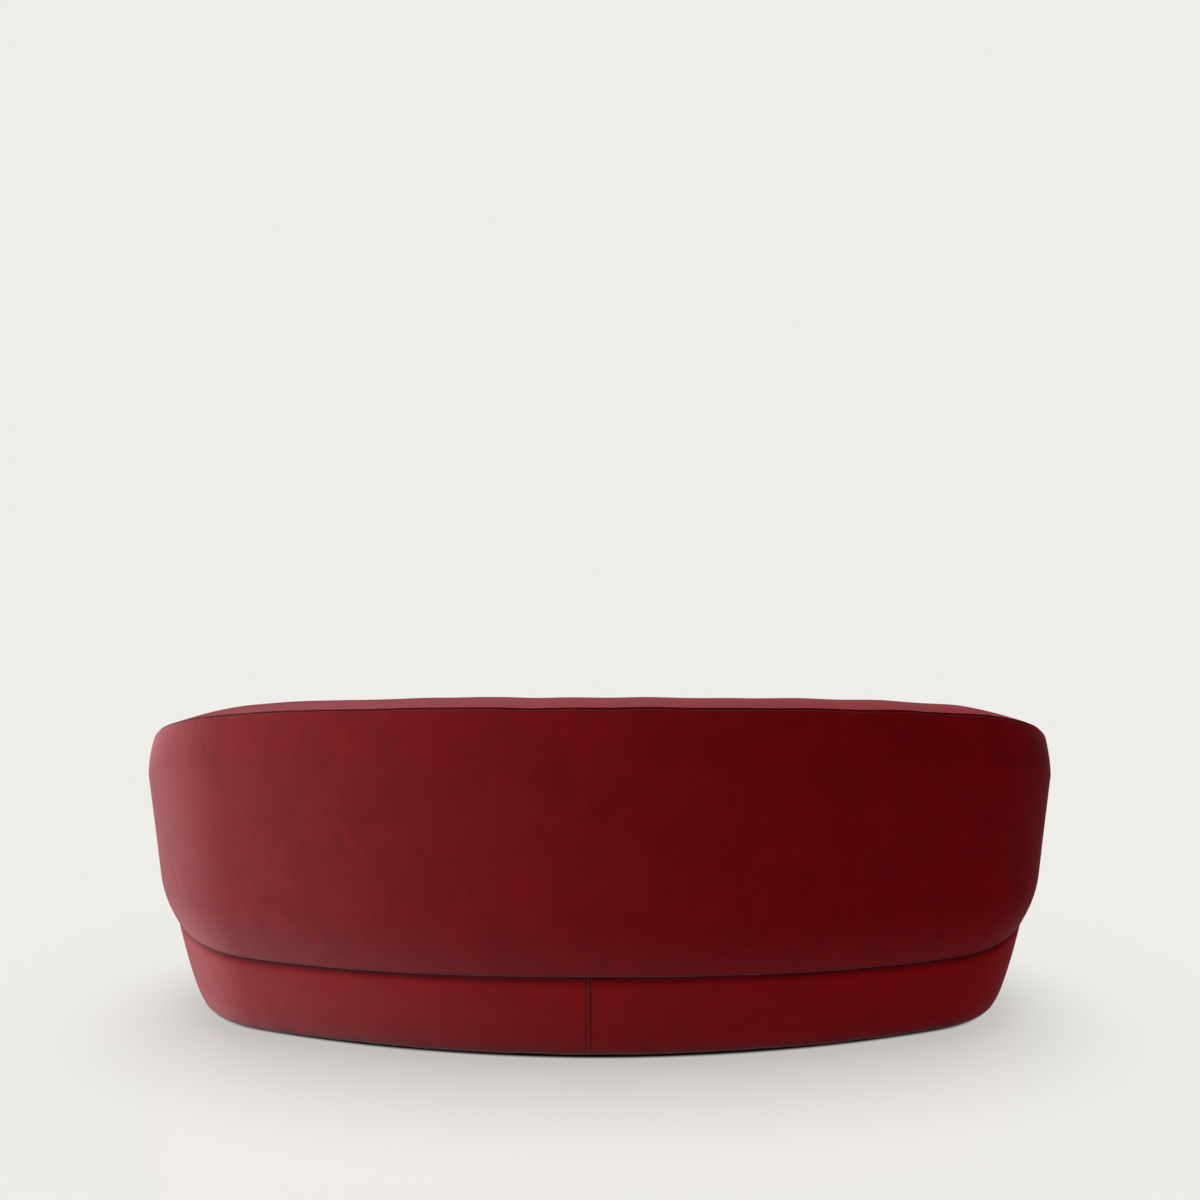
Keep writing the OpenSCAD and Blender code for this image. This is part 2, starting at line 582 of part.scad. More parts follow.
module back_inner_cover() color(velvet)
    loft([for (t = reversed(shell_angles)) let (line = upper_line(t), under = moved(line, velvet_t))
        concat([for (p = line) at(t, p + [0, slip])],
            [for (i = [len(under) - 1:-1:1]) at(t, under[i] + [0, slip])],
            [at(t, line[0] + [2 * velvet_t, slip])])]);
module arm_facing(side) color(velvet) mirror([side > 0 ? 0 : 1, 0, 0]) {
    c = arc_centre(arm_end);
    translate([c.x, c.y, 0]) rotate([90, 0, arm_end]) translate([0, 0, slip])
        linear_extrude(facing_t)
            polygon([for (p = end_section(arm_end, 0, shoulder_low))
                [front_corner_r - p.x, p.y]]);
}

// Seat cushion: an outline that stays clear of the backrest and runs out at the front
cushion_low = deck_top + slip;
flare_from = arm_end + 2;
flare_to = front_turn - 90 - 3.5;
function cushion_in(t) = let (m = mirrored(t), k = (m - flare_to) / (flare_from - flare_to))
    mix(cushion_front_in, seat_in(m) + foot_step + cushion_gap, smooth(k));
cushion_half_angles = concat(rear_angles, side_angles,
    [for (k = [1:7]) flare_from * k / 7],
    [for (k = [1:6]) mix(flare_from, flare_to, k / 6)],
    [for (k = [1:5]) mix(flare_to, -90, k / 5)]);
cushion_edge = mirrored_outline([for (t = cushion_half_angles) plan(t, cushion_in(t))]);
// Points of the cushion are drawn in from its edge towards a spine along its middle
spine_half = 520;
spine_y = wide_y - 70;
function spine(p) = [min(spine_half, max(-spine_half, p.x)), spine_y];
function drawn(p, d) = p + (spine(p) - p) * d / norm(spine(p) - p);
border_low = cushion_low + lining_t;
border_bulge = 5;    // how far the border swells past its seams
core_top = seat_h - fibre_edge;
panel_edge = border_bulge + 2 * piping_r + slip;
module cushion_slab(z0, z1, d) {
    translate([0, 0, z0]) linear_extrude(z1 - z0)
        polygon([for (p = cushion_edge) drawn(p, d)]);
}
// The core is stepped in at its foot, where the lower piping lies
module cushion_foam_core() color(foam) {
    step_z = border_low + 2 * piping_r + slip;
    cushion_slab(border_low + slip, step_z, panel_edge + slip);
    cushion_slab(step_z, core_top, border_bulge + velvet_t + slip);
}
// Height of the crown above the edge seam against the share of the way to the spine
crown_fullness = 2.2;
function crown(k) = cushion_crown * (1 - pow(1 - k, crown_fullness));
crown_k = [0, 0.05, 0.14, 0.3, 0.52, 0.8];
function crown_ring(k, dz) = [for (p = cushion_edge)
    let (a = drawn(p, panel_edge), q = mix(a, spine(p), k))
        [q.x, q.y, seat_h + crown(k) + dz]];
module cushion_fibre_layer() color(fibre)
    loft(reversed(concat([[for (p = crown_ring(0, 0)) [p.x, p.y, core_top + slip]]],
        [for (k = crown_k) crown_ring(k, -velvet_t - slip)])));
module cushion_top_panel() color(velvet)
    loft(reversed(concat([for (k = reversed(crown_k)) crown_ring(k, -velvet_t)],
        [for (k = crown_k) crown_ring(k, 0)])));
border_h = [0, 0.12, 0.5, 0.88, 1];
border_swell = [0, 0.7, 1, 0.7, 0];
border_foot = border_low + 2 * piping_r + slip;
border_head = seat_h - piping_r - slip;
function border_side(p, d) = [for (i = [0:len(border_h) - 1])
    let (q = drawn(p, border_bulge * (1 - border_swell[i]) + d))
        [q.x, q.y, mix(border_foot, border_head, border_h[i])]];
module cushion_border() color(velvet)
    ring_loft([for (p = cushion_edge)
        concat(border_side(p, 0), reversed(border_side(p, velvet_t)))]);
module cushion_bottom_panel() color(black_cloth)
    cushion_slab(cushion_low, border_low, panel_edge - slip);
piping_n = 6;
module cushion_piping(z) color(velvet)
    ring_loft([for (p = reversed(cushion_edge))
        let (c = drawn(p, border_bulge + piping_r), u = piping_r * (c - p) / norm(c - p))
            [for (j = [0:piping_n - 1]) let (a = 360 * j / piping_n)
                [c.x + u.x * cos(a), c.y + u.y * cos(a), z + piping_r * sin(a)]]]);

// Zip along the back of the border
zip_w = 26;
zip_t = 1.2;
zip_z = (cushion_low + seat_h) / 2;
zip_angles = [for (k = [5:-1:-5]) 90 - rear_turn * k / 6];
slider = [9, 1.6, 12];
slider_at = zip_angles[0] + 0.5;
module cushion_zip() color(black_cloth)
    loft([for (t = reversed(zip_angles)) let (x = cushion_in(t) - slip) [
        at(t, [x - zip_t, zip_z - zip_w / 2]), at(t, [x - zip_t, zip_z + zip_w / 2]),
        at(t, [x, zip_z + zip_w / 2]), at(t, [x, zip_z - zip_w / 2])]]);
module cushion_zip_slider() color(steel) {
    p = plan(slider_at, cushion_in(slider_at) - zip_t - 2 * slip);
    translate([p.x, p.y, zip_z]) rotate(slider_at - 90)
        translate([-slider.x / 2, 0, -slider.z / 2]) cube(slider);
}

function wanted(name) = node == "all" || node == name;
if (wanted("glides")) glides();
if (wanted("glide_screws")) glide_screws();
if (wanted("dust_cover")) dust_cover();
if (wanted("base_bottom_ring")) base_bottom_ring();
if (wanted("base_uprights")) base_uprights();
if (wanted("base_top_ring")) base_top_ring();
if (wanted("cross_beam_left")) cross_beam(-beam_x);
if (wanted("cross_beam_centre")) cross_beam(0);
if (wanted("cross_beam_right")) cross_beam(beam_x);
if (wanted("base_facing_board")) base_facing_board();
if (wanted("skirt_foam")) skirt_foam_ring();
if (wanted("skirt_cover")) skirt_cover();
if (wanted("skirt_back_seam")) skirt_back_seam();
if (wanted("webbing_front_to_back")) webbing_front_to_back();
if (wanted("webbing_side_to_side")) webbing_side_to_side();
if (wanted("deck_pad")) deck_pad();
if (wanted("deck_lining")) deck_lining();
if (wanted("back_sill_rail")) back_sill_rail();
if (wanted("back_bolts")) back_bolts();
if (wanted("back_washers")) back_washers();
if (wanted("back_nuts")) back_nuts();
for (i = [1:13]) if (wanted(str("back_rib_", i))) back_rib(i);
if (wanted("back_top_rail")) back_top_rail();
if (wanted("back_outer_board")) back_outer_board();
if (wanted("back_inner_board")) back_inner_board();
if (wanted("back_outer_foam")) back_outer_foam();
if (wanted("back_inner_foam")) back_inner_foam();
if (wanted("back_top_foam")) back_top_foam();
if (wanted("arm_end_foam_left")) arm_end_foam(-1);
if (wanted("arm_end_foam_right")) arm_end_foam(1);
if (wanted("back_outer_cover")) back_outer_cover();
if (wanted("back_inner_cover")) back_inner_cover();
if (wanted("arm_facing_left")) arm_facing(-1);
if (wanted("arm_facing_right")) arm_facing(1);
if (wanted("cushion_foam_core")) cushion_foam_core();
if (wanted("cushion_fibre_layer")) cushion_fibre_layer();
if (wanted("cushion_top_panel")) cushion_top_panel();
if (wanted("cushion_border")) cushion_border();
if (wanted("cushion_bottom_panel")) cushion_bottom_panel();
if (wanted("cushion_piping_top")) cushion_piping(seat_h);
if (wanted("cushion_piping_bottom")) cushion_piping(border_low + piping_r);
if (wanted("cushion_zip")) cushion_zip();
if (wanted("cushion_zip_slider")) cushion_zip_slider();
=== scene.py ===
import math

import bmesh
import bpy
import numpy as np
from bpy.props import FloatProperty, FloatVectorProperty, PointerProperty
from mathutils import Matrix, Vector, noise
from mathutils.geometry import delaunay_2d_cdt
from mathutils.kdtree import KDTree


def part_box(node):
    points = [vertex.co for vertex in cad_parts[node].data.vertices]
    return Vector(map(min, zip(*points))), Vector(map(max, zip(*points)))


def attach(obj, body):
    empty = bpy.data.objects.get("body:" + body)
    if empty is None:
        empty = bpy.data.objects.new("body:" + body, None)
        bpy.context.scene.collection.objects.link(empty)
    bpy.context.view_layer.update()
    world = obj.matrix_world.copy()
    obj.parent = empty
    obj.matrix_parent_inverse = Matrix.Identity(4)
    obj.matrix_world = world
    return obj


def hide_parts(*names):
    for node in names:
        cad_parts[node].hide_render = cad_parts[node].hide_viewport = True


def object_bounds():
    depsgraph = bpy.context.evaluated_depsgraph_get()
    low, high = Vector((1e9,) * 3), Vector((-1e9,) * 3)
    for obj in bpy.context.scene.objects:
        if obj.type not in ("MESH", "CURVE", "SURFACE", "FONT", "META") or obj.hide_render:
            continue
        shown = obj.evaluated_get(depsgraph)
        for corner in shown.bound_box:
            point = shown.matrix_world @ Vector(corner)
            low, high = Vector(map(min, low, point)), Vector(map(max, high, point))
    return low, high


bl_info = {
    "name": "Curved velvet sofa",
    "version": (1, 0, 0),
    "blender": (4, 5, 0),
    "location": "3D View > Sidebar > Sofa",
    "description": "Upholsters and finishes a curved three-seater sofa",
    "category": "Add Mesh",
}

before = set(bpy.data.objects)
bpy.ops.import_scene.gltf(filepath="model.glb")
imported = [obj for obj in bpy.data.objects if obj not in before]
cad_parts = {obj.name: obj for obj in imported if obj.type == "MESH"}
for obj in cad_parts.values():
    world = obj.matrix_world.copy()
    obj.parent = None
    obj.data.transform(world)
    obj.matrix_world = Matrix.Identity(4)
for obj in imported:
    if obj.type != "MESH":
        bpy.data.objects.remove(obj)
CAD_BOX = [list(corner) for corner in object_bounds()]
MM = 0.001
QUARTER = math.pi / 2


# Properties

def linear(code):
    """The linear colour of an sRGB hex value"""
    parts = [int(code[i:i + 2], 16) / 255 for i in (1, 3, 5)]
    return tuple(p / 12.92 if p <= 0.04045 else ((p + 0.055) / 1.055) ** 2.4
                 for p in parts) + (1.0,)


def length(name, text, metres):
    return FloatProperty(name=name, description=text, default=metres, min=0,
                         subtype="DISTANCE", unit="LENGTH", precision=4)


def angle(name, text, degrees):
    return FloatProperty(name=name, description=text, default=math.radians(degrees),
                         subtype="ANGLE", unit="ROTATION")


def colour(name, text, code):
    return FloatVectorProperty(name=name, description=text, default=linear(code), size=4,
                               min=0, max=1, subtype="COLOR")


class SofaSizes(bpy.types.PropertyGroup):
    """Sizes of the sofa, as its frame is built"""
    width: length("Width", "Across the widest point of the arms",
                  CAD_BOX[1][0] - CAD_BOX[0][0])
    rear_corner: length("Rear corner", "Radius of the outline at the rear corners", 0.4)
    rear_turn: angle("Rear turn", "Half the turn of the rear arc", 22.5)
    front_corner: length("Front corner", "Radius of the outline at the front corners", 0.33)
    front_turn: angle("Front turn", "Half the turn of the front arc", 20)
    arm_end: angle("Arm end", "Angle past the widest point at which an arm ends", 62)
    seam: length("Top seam", "Height of the top seam at the middle of the back", 0.748)
    seat: length("Seat", "Height of the upper edge seam of the cushion", 0.414)
    hem: length("Hem", "Height of the lower edge of the backrest", 0.193)
    arm_fall: length("Arm fall", "Fall of the top seam to the widest point", 0.181)
    arm_end_seam: length("Arm end seam", "Height of the top seam where an arm ends", 0.475)
    crown: length("Crown", "Crown of the top face above the seam", 0.010)
    roll: length("Roll", "Height of the roll over the inner top edge", 0.060)
    lean: length("Foot lean", "Inward lean of the outer face below its widest level", 0.038)
    seam_in: length("Seam inset", "Inset of the top seam", 0.012)
    back_top: length("Back, top", "Thickness at the top, middle of the back", 0.172)
    back_seat: length("Back, seat", "Thickness at the seat, middle of the back", 0.250)
    arm_top: length("Arm, top", "Thickness at the top of the arms", 0.142)
    arm_seat: length("Arm, seat", "Thickness at the seat, arms", 0.186)
    skirt_floor: length("Skirt, floor", "Inset of the skirt at the floor", 0.129)
    skirt_top: length("Skirt, top", "Inset of the skirt at its reference height", 0.060)
    skirt: length("Skirt height", "Height of the upper edge of the skirt", 0.254)
    glide: length("Glide", "Gap between the floor and the underside", 0.007)
    seam_x: length("Rear seam", "Offset of the felled rear seam of the skirt", 0.024)
    seam_w: length("Rear seam width", "Width of the felled rear seam", 0.010)
    cloth: length("Velvet", "Thickness of the velvet with its backing", 0.0016)
    cushion_front: length("Cushion front", "Inset of the front edge of the cushion", 0.046)
    cushion_gap: length("Cushion gap", "Gap between the cushion and the backrest", 0.006)
    cushion_crown: length("Cushion crown", "Crown of the seat above its edge seam", 0.022)
    piping: length("Piping", "Radius of the piping", 0.003)


class SofaColours(bpy.types.PropertyGroup):
    """Colours of the sofa's finishes and of the stage"""
    velvet: colour("Velvet", "Pile of the velvet, seen along the nap", "#7a030a")
    velvet_deep: colour("Velvet, deep", "Pile of the velvet, seen against the nap", "#640207")
    # Painted lighter than the rest of the velvet: painted light, thrown up onto the base from the
    # floor
    velvet_base_lit: colour("Velvet, turned", "Pile of the base, cut the other way up",
                          "#8a050c")
    velvet_sheen: colour("Velvet sheen", "Light that the tips of the pile scatter", "#eeb2b8")
    thread: colour("Thread", "Sewing thread", "#3c070c")
    lining: colour("Lining", "Deck and dust cloth", "#17171a")
    floor: colour("Floor", "Seamless paper", "#efede9")


# The form of the sofa, worked out from its sizes

def mix(a, b, k):
    return a + (b - a) * k


def smooth(x):
    c = np.clip(x, 0, 1)
    return c * c * (3 - 2 * c)


def through(x, xs, ys):
    """A smooth curve through a few points that never overshoots them"""
    xs, ys = np.asarray(xs, float), np.asarray(ys, float)
    hop = np.diff(xs)
    slope = np.diff(ys) / hop
    ends = [slope[0]] + [0.0 if a * b <= 0 else 2 * a * b / (a + b)
                         for a, b in zip(slope, slope[1:])] + [slope[-1]]
    i = np.clip(np.searchsorted(xs, x) - 1, 0, len(hop) - 1)
    k = (np.clip(x, xs[0], xs[-1]) - xs[i]) / hop[i]
    m0, m1 = np.array(ends)[i] * hop[i], np.array(ends)[i + 1] * hop[i]
    return ((2 * k ** 3 - 3 * k ** 2 + 1) * ys[i] + (k ** 3 - 2 * k ** 2 + k) * m0
            + (3 * k ** 2 - 2 * k ** 3) * ys[i + 1] + (k ** 3 - k ** 2) * m1)


class Form:
    """The outline in plan, where each point is known by the angle of its outward normal:
    a quarter turn at the middle of the back, none at the widest point. Insets run inwards."""
    fall_start, fall_soft = 0.100, 0.300
    skirt_reach, skirt_curve = 0.219, 0.69
    roll_share, roll_power, wide_share = 0.25, 2.2, 0.8
    # The hem dips a little over the rear corners and rises towards the arms
    hem_turns = (5, 25, 40, 55, 70, 82, 90)
    hem_rises = tuple(rise * MM for rise in (28, 20, 8, -3, -8, -3, 0))
    seam_wander = 2.5 * MM
    ridge, roll_square = 0.45, 2.6
    knee_drop = 0.025
    nose_turn, nose_mid, nose_dip, nose_draw = math.radians(8), 0.084, 0.060, 0.3
    shoulder = 0.262
    foam_low = 0.2374
    spine_half = 0.520
    # How far the border of the cushion stands out at half its height
    bulge = 5 * MM

    def __init__(self, s):
        self.s = s
        self.half = s.width / 2
        self.rear_r = s.rear_corner + (self.half - s.rear_corner) / math.sin(s.rear_turn)
        self.front_r = s.front_corner + (self.half - s.front_corner) / math.sin(s.front_turn)
        self.rear_reach = self.rear_r - (self.rear_r - s.rear_corner) * math.cos(s.rear_turn)
        self.front_reach = (self.front_r
                            - (self.front_r - s.front_corner) * math.cos(s.front_turn))
        self.wide_y = (self.front_reach - s.cushion_front - self.rear_reach) / 2
        self.spine_y = self.wide_y - 0.070
        self.skirt_low = s.glide + 0.004
        # The cover over the top of the base, and the lowest points of the cushion over it
        self.deck_top = s.skirt + 1.9 * MM
        self.cushion_low = s.skirt + 2.3 * MM
        self.bottom_seam = s.skirt + 3.8 * MM + s.piping
        self.arm_end = -s.arm_end
        run = self.rear_reach - self.fall_start
        self.fall_k = s.arm_fall / (self.hinge(self.rear_reach) - self.hinge(0))
        self.wide_slope = self.fall_k * (1 + run / math.hypot(run, self.fall_soft)) / 2
        self.end_d = s.front_corner * math.sin(s.arm_end)
        self.end_ease = (s.arm_end_seam - s.seam + s.arm_fall
                         + self.wide_slope * self.end_d) / self.end_d ** 2

    def hinge(self, d):
        return (d - self.fall_start + np.hypot(d - self.fall_start, self.fall_soft)) / 2

    @staticmethod
    def right(turn):
        """The same angle on the right-hand half"""
        return np.where(turn > QUARTER, math.pi - turn, turn)

    def plan(self, turn, inset):
        """Across and back, on arcs that meet at the rear turn, the widest point and the
        front turn"""
        s, t = self.s, self.right(turn)
        rear, corner, nose = (t >= QUARTER - s.rear_turn, t >= 0,
                              t >= s.front_turn - QUARTER)
        cx = np.select([rear, corner, nose], [0, self.half - s.rear_corner,
                                              self.half - s.front_corner], 0)
        cy = np.select([rear, nose], [self.wide_y + self.rear_reach - self.rear_r,
                                      self.wide_y],
                       self.wide_y - self.front_reach + self.front_r)
        r = np.select([rear, corner, nose], [self.rear_r, s.rear_corner, s.front_corner],
                      self.front_r)
        x = cx + (r - inset) * np.cos(t)
        return np.where(turn > QUARTER, -x, x), cy + (r - inset) * np.sin(t)

    def at(self, turn, inset, z):
        turn, inset, z = np.broadcast_arrays(turn, inset, z)
        x, y = self.plan(turn, inset)
        return np.stack([x, y, z], -1)

    def seam_z(self, turn):
        """Height of the top seam: level behind, then falling evenly along the arms"""
        s = self.s
        d = self.wide_y - self.plan(self.right(turn), 0)[1]
        rear = s.seam - self.fall_k * (self.hinge(self.rear_reach + np.minimum(d, 0))
                                       - self.hinge(0))
        arm = s.seam - s.arm_fall - self.wide_slope * d + self.end_ease * d * d
        wander = self.seam_wander * waves(self.at(turn, s.seam_in, 0.0), 0.12, 8.3)
        return np.where(d < 0, rear, arm) + wander

    def hem_z(self, turn):
        return self.s.hem + through(np.degrees(self.right(turn)), self.hem_turns,
                                    self.hem_rises)

    def backness(self, turn):
        """1 at the middle of the back, 0 along the arms"""
        return smooth((np.degrees(self.right(turn)) - 8) / 60)

    def top_in(self, turn):
        return mix(self.s.arm_top, self.s.back_top, self.backness(turn))

    def seat_in(self, turn):
        return mix(self.s.arm_seat, self.s.back_seat, self.backness(turn))

    def skirt_in(self, z):
        s = self.s
        share = np.maximum(0, z - self.skirt_low) / self.skirt_reach
        return s.skirt_floor - (s.skirt_floor - s.skirt_top) * share ** self.skirt_curve

    def wall_in(self, turn, f):
        s = self.s
        hem_in = self.skirt_in(self.hem_z(turn)) - 1.3 * s.cloth - 0.4 * MM
        return (s.lean * np.maximum(0, 1 - f / self.wide_share)
                + (hem_in - s.lean)
                * np.maximum(0, 1 - f / self.roll_share) ** self.roll_power
                + s.seam_in * np.maximum(0, (f - self.wide_share)
                                         / (1 - self.wide_share)) ** 2)

    def top_rise(self, g):
        s = self.s
        rise = s.crown * np.sin(QUARTER * np.minimum(g, self.ridge) / self.ridge)
        over = np.clip((g - self.ridge) / (1 - self.ridge), 0, 1)
        fall = 1 - (1 - over ** self.roll_square) ** (1 / self.roll_square)
        return rise - (s.crown + s.roll) * fall

    def nosed(self, turn, inset, z):
        """The last stretch of each arm rounds in towards its end panel"""
        v = np.clip((self.right(turn) - self.arm_end) / self.nose_turn, 0, 1)
        c = self.nose_draw * (1 - np.sqrt(1 - (1 - v) ** 2))
        low = np.clip((z - self.s.hem) / (self.shoulder - self.s.hem), 0, 1)
        drop = np.clip((z - self.s.skirt) / (self.seam_z(turn) - self.s.skirt), 0, 1)
        return mix(inset, self.nose_mid, c * low), z - c * self.nose_dip * drop

    def wall(self, turn, f):
        """Inset and height on the outer face, from the hem at 0 to the top seam at 1"""
        return self.nosed(turn, self.wall_in(turn, f),
                          mix(self.hem_z(turn), self.seam_z(turn), f))

    def top(self, turn, g):
        """Inset and height on the top face, from the seam at 0 over the inner edge at 1"""
        inset = mix(self.s.seam_in, self.top_in(turn), g)
        return self.nosed(turn, inset, self.seam_z(turn) + self.top_rise(g))

    def face(self, turn, k):
        """Inset and height on the inner face, from the top roll at 0 to the deck at 1"""
        z0 = self.seam_z(turn) - self.s.roll
        z1 = np.minimum(self.s.seat, self.seam_z(turn) - self.s.roll - self.knee_drop)
        z = mix(z0, self.foam_low, k)
        down = np.clip((z0 - z) / np.maximum(z0 - z1, 1e-6), 0, 1)
        share = through(down, [0, 0.3, 0.65, 1], [0, 0.25, 0.62, 1])
        inset = mix(self.top_in(turn), self.seat_in(turn), share)
        return self.nosed(turn, inset, z)

    @staticmethod
    def outward(turn):
        return np.stack([np.cos(turn), np.sin(turn), 0 * turn], -1)

    def past_end(self, turn):
        """The way that the end panel of the nearer arm faces"""
        x, y = math.sin(self.arm_end), -math.cos(self.arm_end)
        return np.stack([np.where(turn > QUARTER, -x, x), y + 0 * turn, 0 * turn], -1)

    def turns(self, first, last, pitch, inset):
        """Angles from first to last, about a pitch apart along the outline"""
        fine = np.linspace(first, last, 6001)
        x, y = self.plan(fine, inset)
        run = np.concatenate([[0], np.cumsum(np.hypot(np.diff(x), np.diff(y)))])
        return np.interp(np.linspace(0, run[-1], int(round(run[-1] / pitch)) + 1), run, fine)

    def round(self, pitch, inset):
        """Angles once round the outline, from the middle of the front"""
        return self.turns(-QUARTER, 3 * QUARTER, pitch, inset)[:-1]

    def before_arms(self, turn):
        """1 across the front, falling to 0 at the arm ends"""
        return smooth((self.arm_end - math.radians(0.3) - self.right(turn))
                      / math.radians(2.2))

    def cushion_in(self, turn):
        t = self.right(turn)
        first, last = self.arm_end + math.radians(2), self.s.front_turn - math.radians(93.5)
        behind = self.seat_in(turn) + 0.001 + self.s.cushion_gap
        return mix(self.s.cushion_front, behind, smooth((t - last) / (first - last)))

    def cushion_rim(self, turn):
        return np.stack(self.plan(turn, self.cushion_in(turn)), -1)

    def to_spine(self, rim):
        """From each point of a rim to the middle line, where the two halves meet in points
        60 mm apart"""
        x = np.clip(rim[:, 0], -self.spine_half, self.spine_half)
        x = np.round(x / (60 * MM)) * 60 * MM
        return np.stack([x, np.full(len(rim), self.spine_y)], -1) - rim


# Meshes

def add_mesh(name, points, faces):
    mesh = bpy.data.meshes.new(name)
    mesh.from_pydata(np.asarray(points, float).reshape(-1, 3).tolist(), [], faces)
    mesh.validate()
    mesh.shade_smooth()
    made = bpy.data.objects.new(name, mesh)
    bpy.context.scene.collection.objects.link(made)
    return made


def grid_faces(rows, columns, ring=False, tube=False):
    """Faces between rows of points. A ring closes the last row on the first, and a tube
    closes each row on itself."""
    i, j = np.meshgrid(np.arange(rows - (0 if ring else 1)),
                       np.arange(columns - (0 if tube else 1)), indexing="ij")
    i2, j2 = (i + 1) % rows, (j + 1) % columns
    return np.stack([i * columns + j, i2 * columns + j, i2 * columns + j2,
                     i * columns + j2], -1).reshape(-1, 4).tolist()


def normals(points, ring=False):
    """Outward normals of a grid of points"""
    padded = np.concatenate([points[-1:], points, points[:1]]) if ring else points
    along = np.gradient(padded, axis=0)
    if ring:
        along = along[1:-1]
    across = np.gradient(points, axis=1)
    found = np.cross(along, across)
    return found / np.maximum(np.linalg.norm(found, axis=-1, keepdims=True), 1e-12)


def waves(points, size, seed):
    """Smooth noise at each point, with features of about that size"""
    flat = points.reshape(-1, 3) / size + seed
    return np.array([noise.noise(p) for p in flat.tolist()]).reshape(points.shape[:-1])


def near_edge(distance, reach):
    """1 at an edge, falling to 0 at that reach"""
    return np.clip(1 - distance / reach, 0, 1)


def spaced(lines, low, high, pitch):
    """Spaces points along each of a set of lines: at the listed distances from the two
    ends, and evenly between. Returns the points, and each one's distance from both ends."""
    made, from_low, from_high = [], [], []
    hops = np.linalg.norm(np.diff(lines, axis=1), axis=2)
    run = np.concatenate([np.zeros((len(lines), 1)), np.cumsum(hops, axis=1)], axis=1)
    count = int(round((run[:, -1].max() - low[-1] - high[-1]) / pitch)) + 1
    for line, at in zip(lines, run):
        even = np.linspace(low[-1], at[-1] - high[-1], count)[1:-1]
        d = np.concatenate([low, even, at[-1] - high[::-1]])
        made.append(np.stack([np.interp(d, at, line[:, i])
                              for i in range(line.shape[1])], -1))
        from_low.append(d)
        from_high.append(at[-1] - d)
    return np.array(made), np.array(from_low), np.array(from_high)


def mark(made, name, values):
    """Gives each point of a mesh a value that its material reads"""
    attribute = made.data.attributes.new(name, "FLOAT", "POINT")
    attribute.data.foreach_set("value", values.reshape(-1))


def thicken(made, thickness):
    """Turns a surface into cloth of that thickness, which grows inwards"""
    solid = made.modifiers.new("Thickness", "SOLIDIFY")
    solid.thickness, solid.offset, solid.use_even_offset = thickness, -1, False
    apply_modifiers(made)
    made.data.shade_smooth()


def apply_modifiers(made):
    graph = bpy.context.evaluated_depsgraph_get()
    done = bpy.data.meshes.new_from_object(made.evaluated_get(graph))
    old = made.data
    made.modifiers.clear()
    made.data = done
    bpy.data.meshes.remove(old)


# Distances next to a seam at which the cloth is given points
SEAM_ROWS = np.array([0, 0.7, 1.4, 2.2, 3.1, 4.2, 5.6, 7.5, 10.5, 15]) * MM
# A seam draws the cloth in this deep, over the first reach, and puckers it over the second
SEAM_DEPTH = 7 * MM
SEAM_REACH = 4 * MM
PUCKER_REACH = 30 * MM
# The share of that depth at the seams of the arm ends
ARM_SEAM = 0.45
# How dark a seam is painted, from 0 to 1: partly the pile parting, partly painted shade in its
# groove
SEAM_PARTING_AND_SHADE = 0.8


def upholster(points, from_seam, beyond, seed, swell=1.2 * MM, shallow=False):
    """Lays velvet over a form: it dips into its seams, puckers a little beside them, and is
    nowhere quite flat. from_seam is the distance to the nearest seam, beyond is the way
    that the panel on the other side of that seam faces, and shallow is where it is the seam
    of an arm end."""
    out = normals(points)
    into = out + beyond
    into = into / np.linalg.norm(into, axis=-1, keepdims=True)
    dip = SEAM_DEPTH * near_edge(from_seam, SEAM_REACH) ** 2
    dip = np.where(shallow, ARM_SEAM * dip, dip)
    beside = near_edge(from_seam, PUCKER_REACH) * smooth(from_seam / (2 * SEAM_REACH))
    pucker = 1.1 * MM * beside * waves(points * [1, 1, 0.6], 22 * MM, seed)
    broad = (swell * waves(points, 0.28, seed + 5)
             + 0.35 * swell * waves(points, 0.09, seed + 9))
    away = smooth(from_seam / (40 * MM))
    return points + out * (broad * away + pucker)[..., None] - into * dip[..., None]


class Beads:
    """Many small rounded rods in one mesh: stitches, staples or teeth"""
    sides = 6
    rings = ((0.0, 0.35), (0.12, 0.85), (0.88, 0.85), (1.0, 0.35))

    def __init__(self):
        self.points, self.faces = [], []

    def add(self, start, end, radius):
        start, end = Vector(start), Vector(end)
        along = end - start
        across = along.orthogonal().normalized()
        beside = along.cross(across).normalized()
        base, n = len(self.points), self.sides
        for k, share in self.rings:
            for i in range(n):
                a = 2 * math.pi * i / n
                off = across * math.cos(a) + beside * math.sin(a)
                self.points.append(tuple(start + along * k + off * radius * share))
        last = len(self.rings) - 1
        for ring in range(last):
            for i in range(n):
                at, to = base + ring * n + i, base + ring * n + (i + 1) % n
                self.faces.append([at, to, to + n, at + n])
        self.faces.append([base + i for i in range(n)][::-1])
        self.faces.append([base + last * n + i for i in range(n)])

    def mesh(self, name):
        return add_mesh(name, self.points, self.faces)


def finish_piece(made, material, body, slot, *nodes):
    """Gives a piece its finish, its body and the nodes that it stands for"""
    made.data.materials.clear()
    made.data.materials.append(material)
    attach(made, body)
    if nodes:
        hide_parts(*nodes)
    return made


# Materials

def add_node(tree, kind, inputs=None, **settings):
    """Adds a node with its settings; an input is a value, or the output that it takes"""
    made = tree.nodes.new(kind)
    for key, value in settings.items():
        setattr(made, key, value)
    for key, value in (inputs or {}).items():
        if isinstance(value, bpy.types.NodeSocket):
            tree.links.new(value, made.inputs[key])
        else:
            made.inputs[key].default_value = value
    return made


def new_material(name):
    found = bpy.data.materials.get(name)
    if found:
        return found, None
    made = bpy.data.materials.new(name)
    made.use_nodes = True
    made.node_tree.nodes.clear()
    return made, made.node_tree


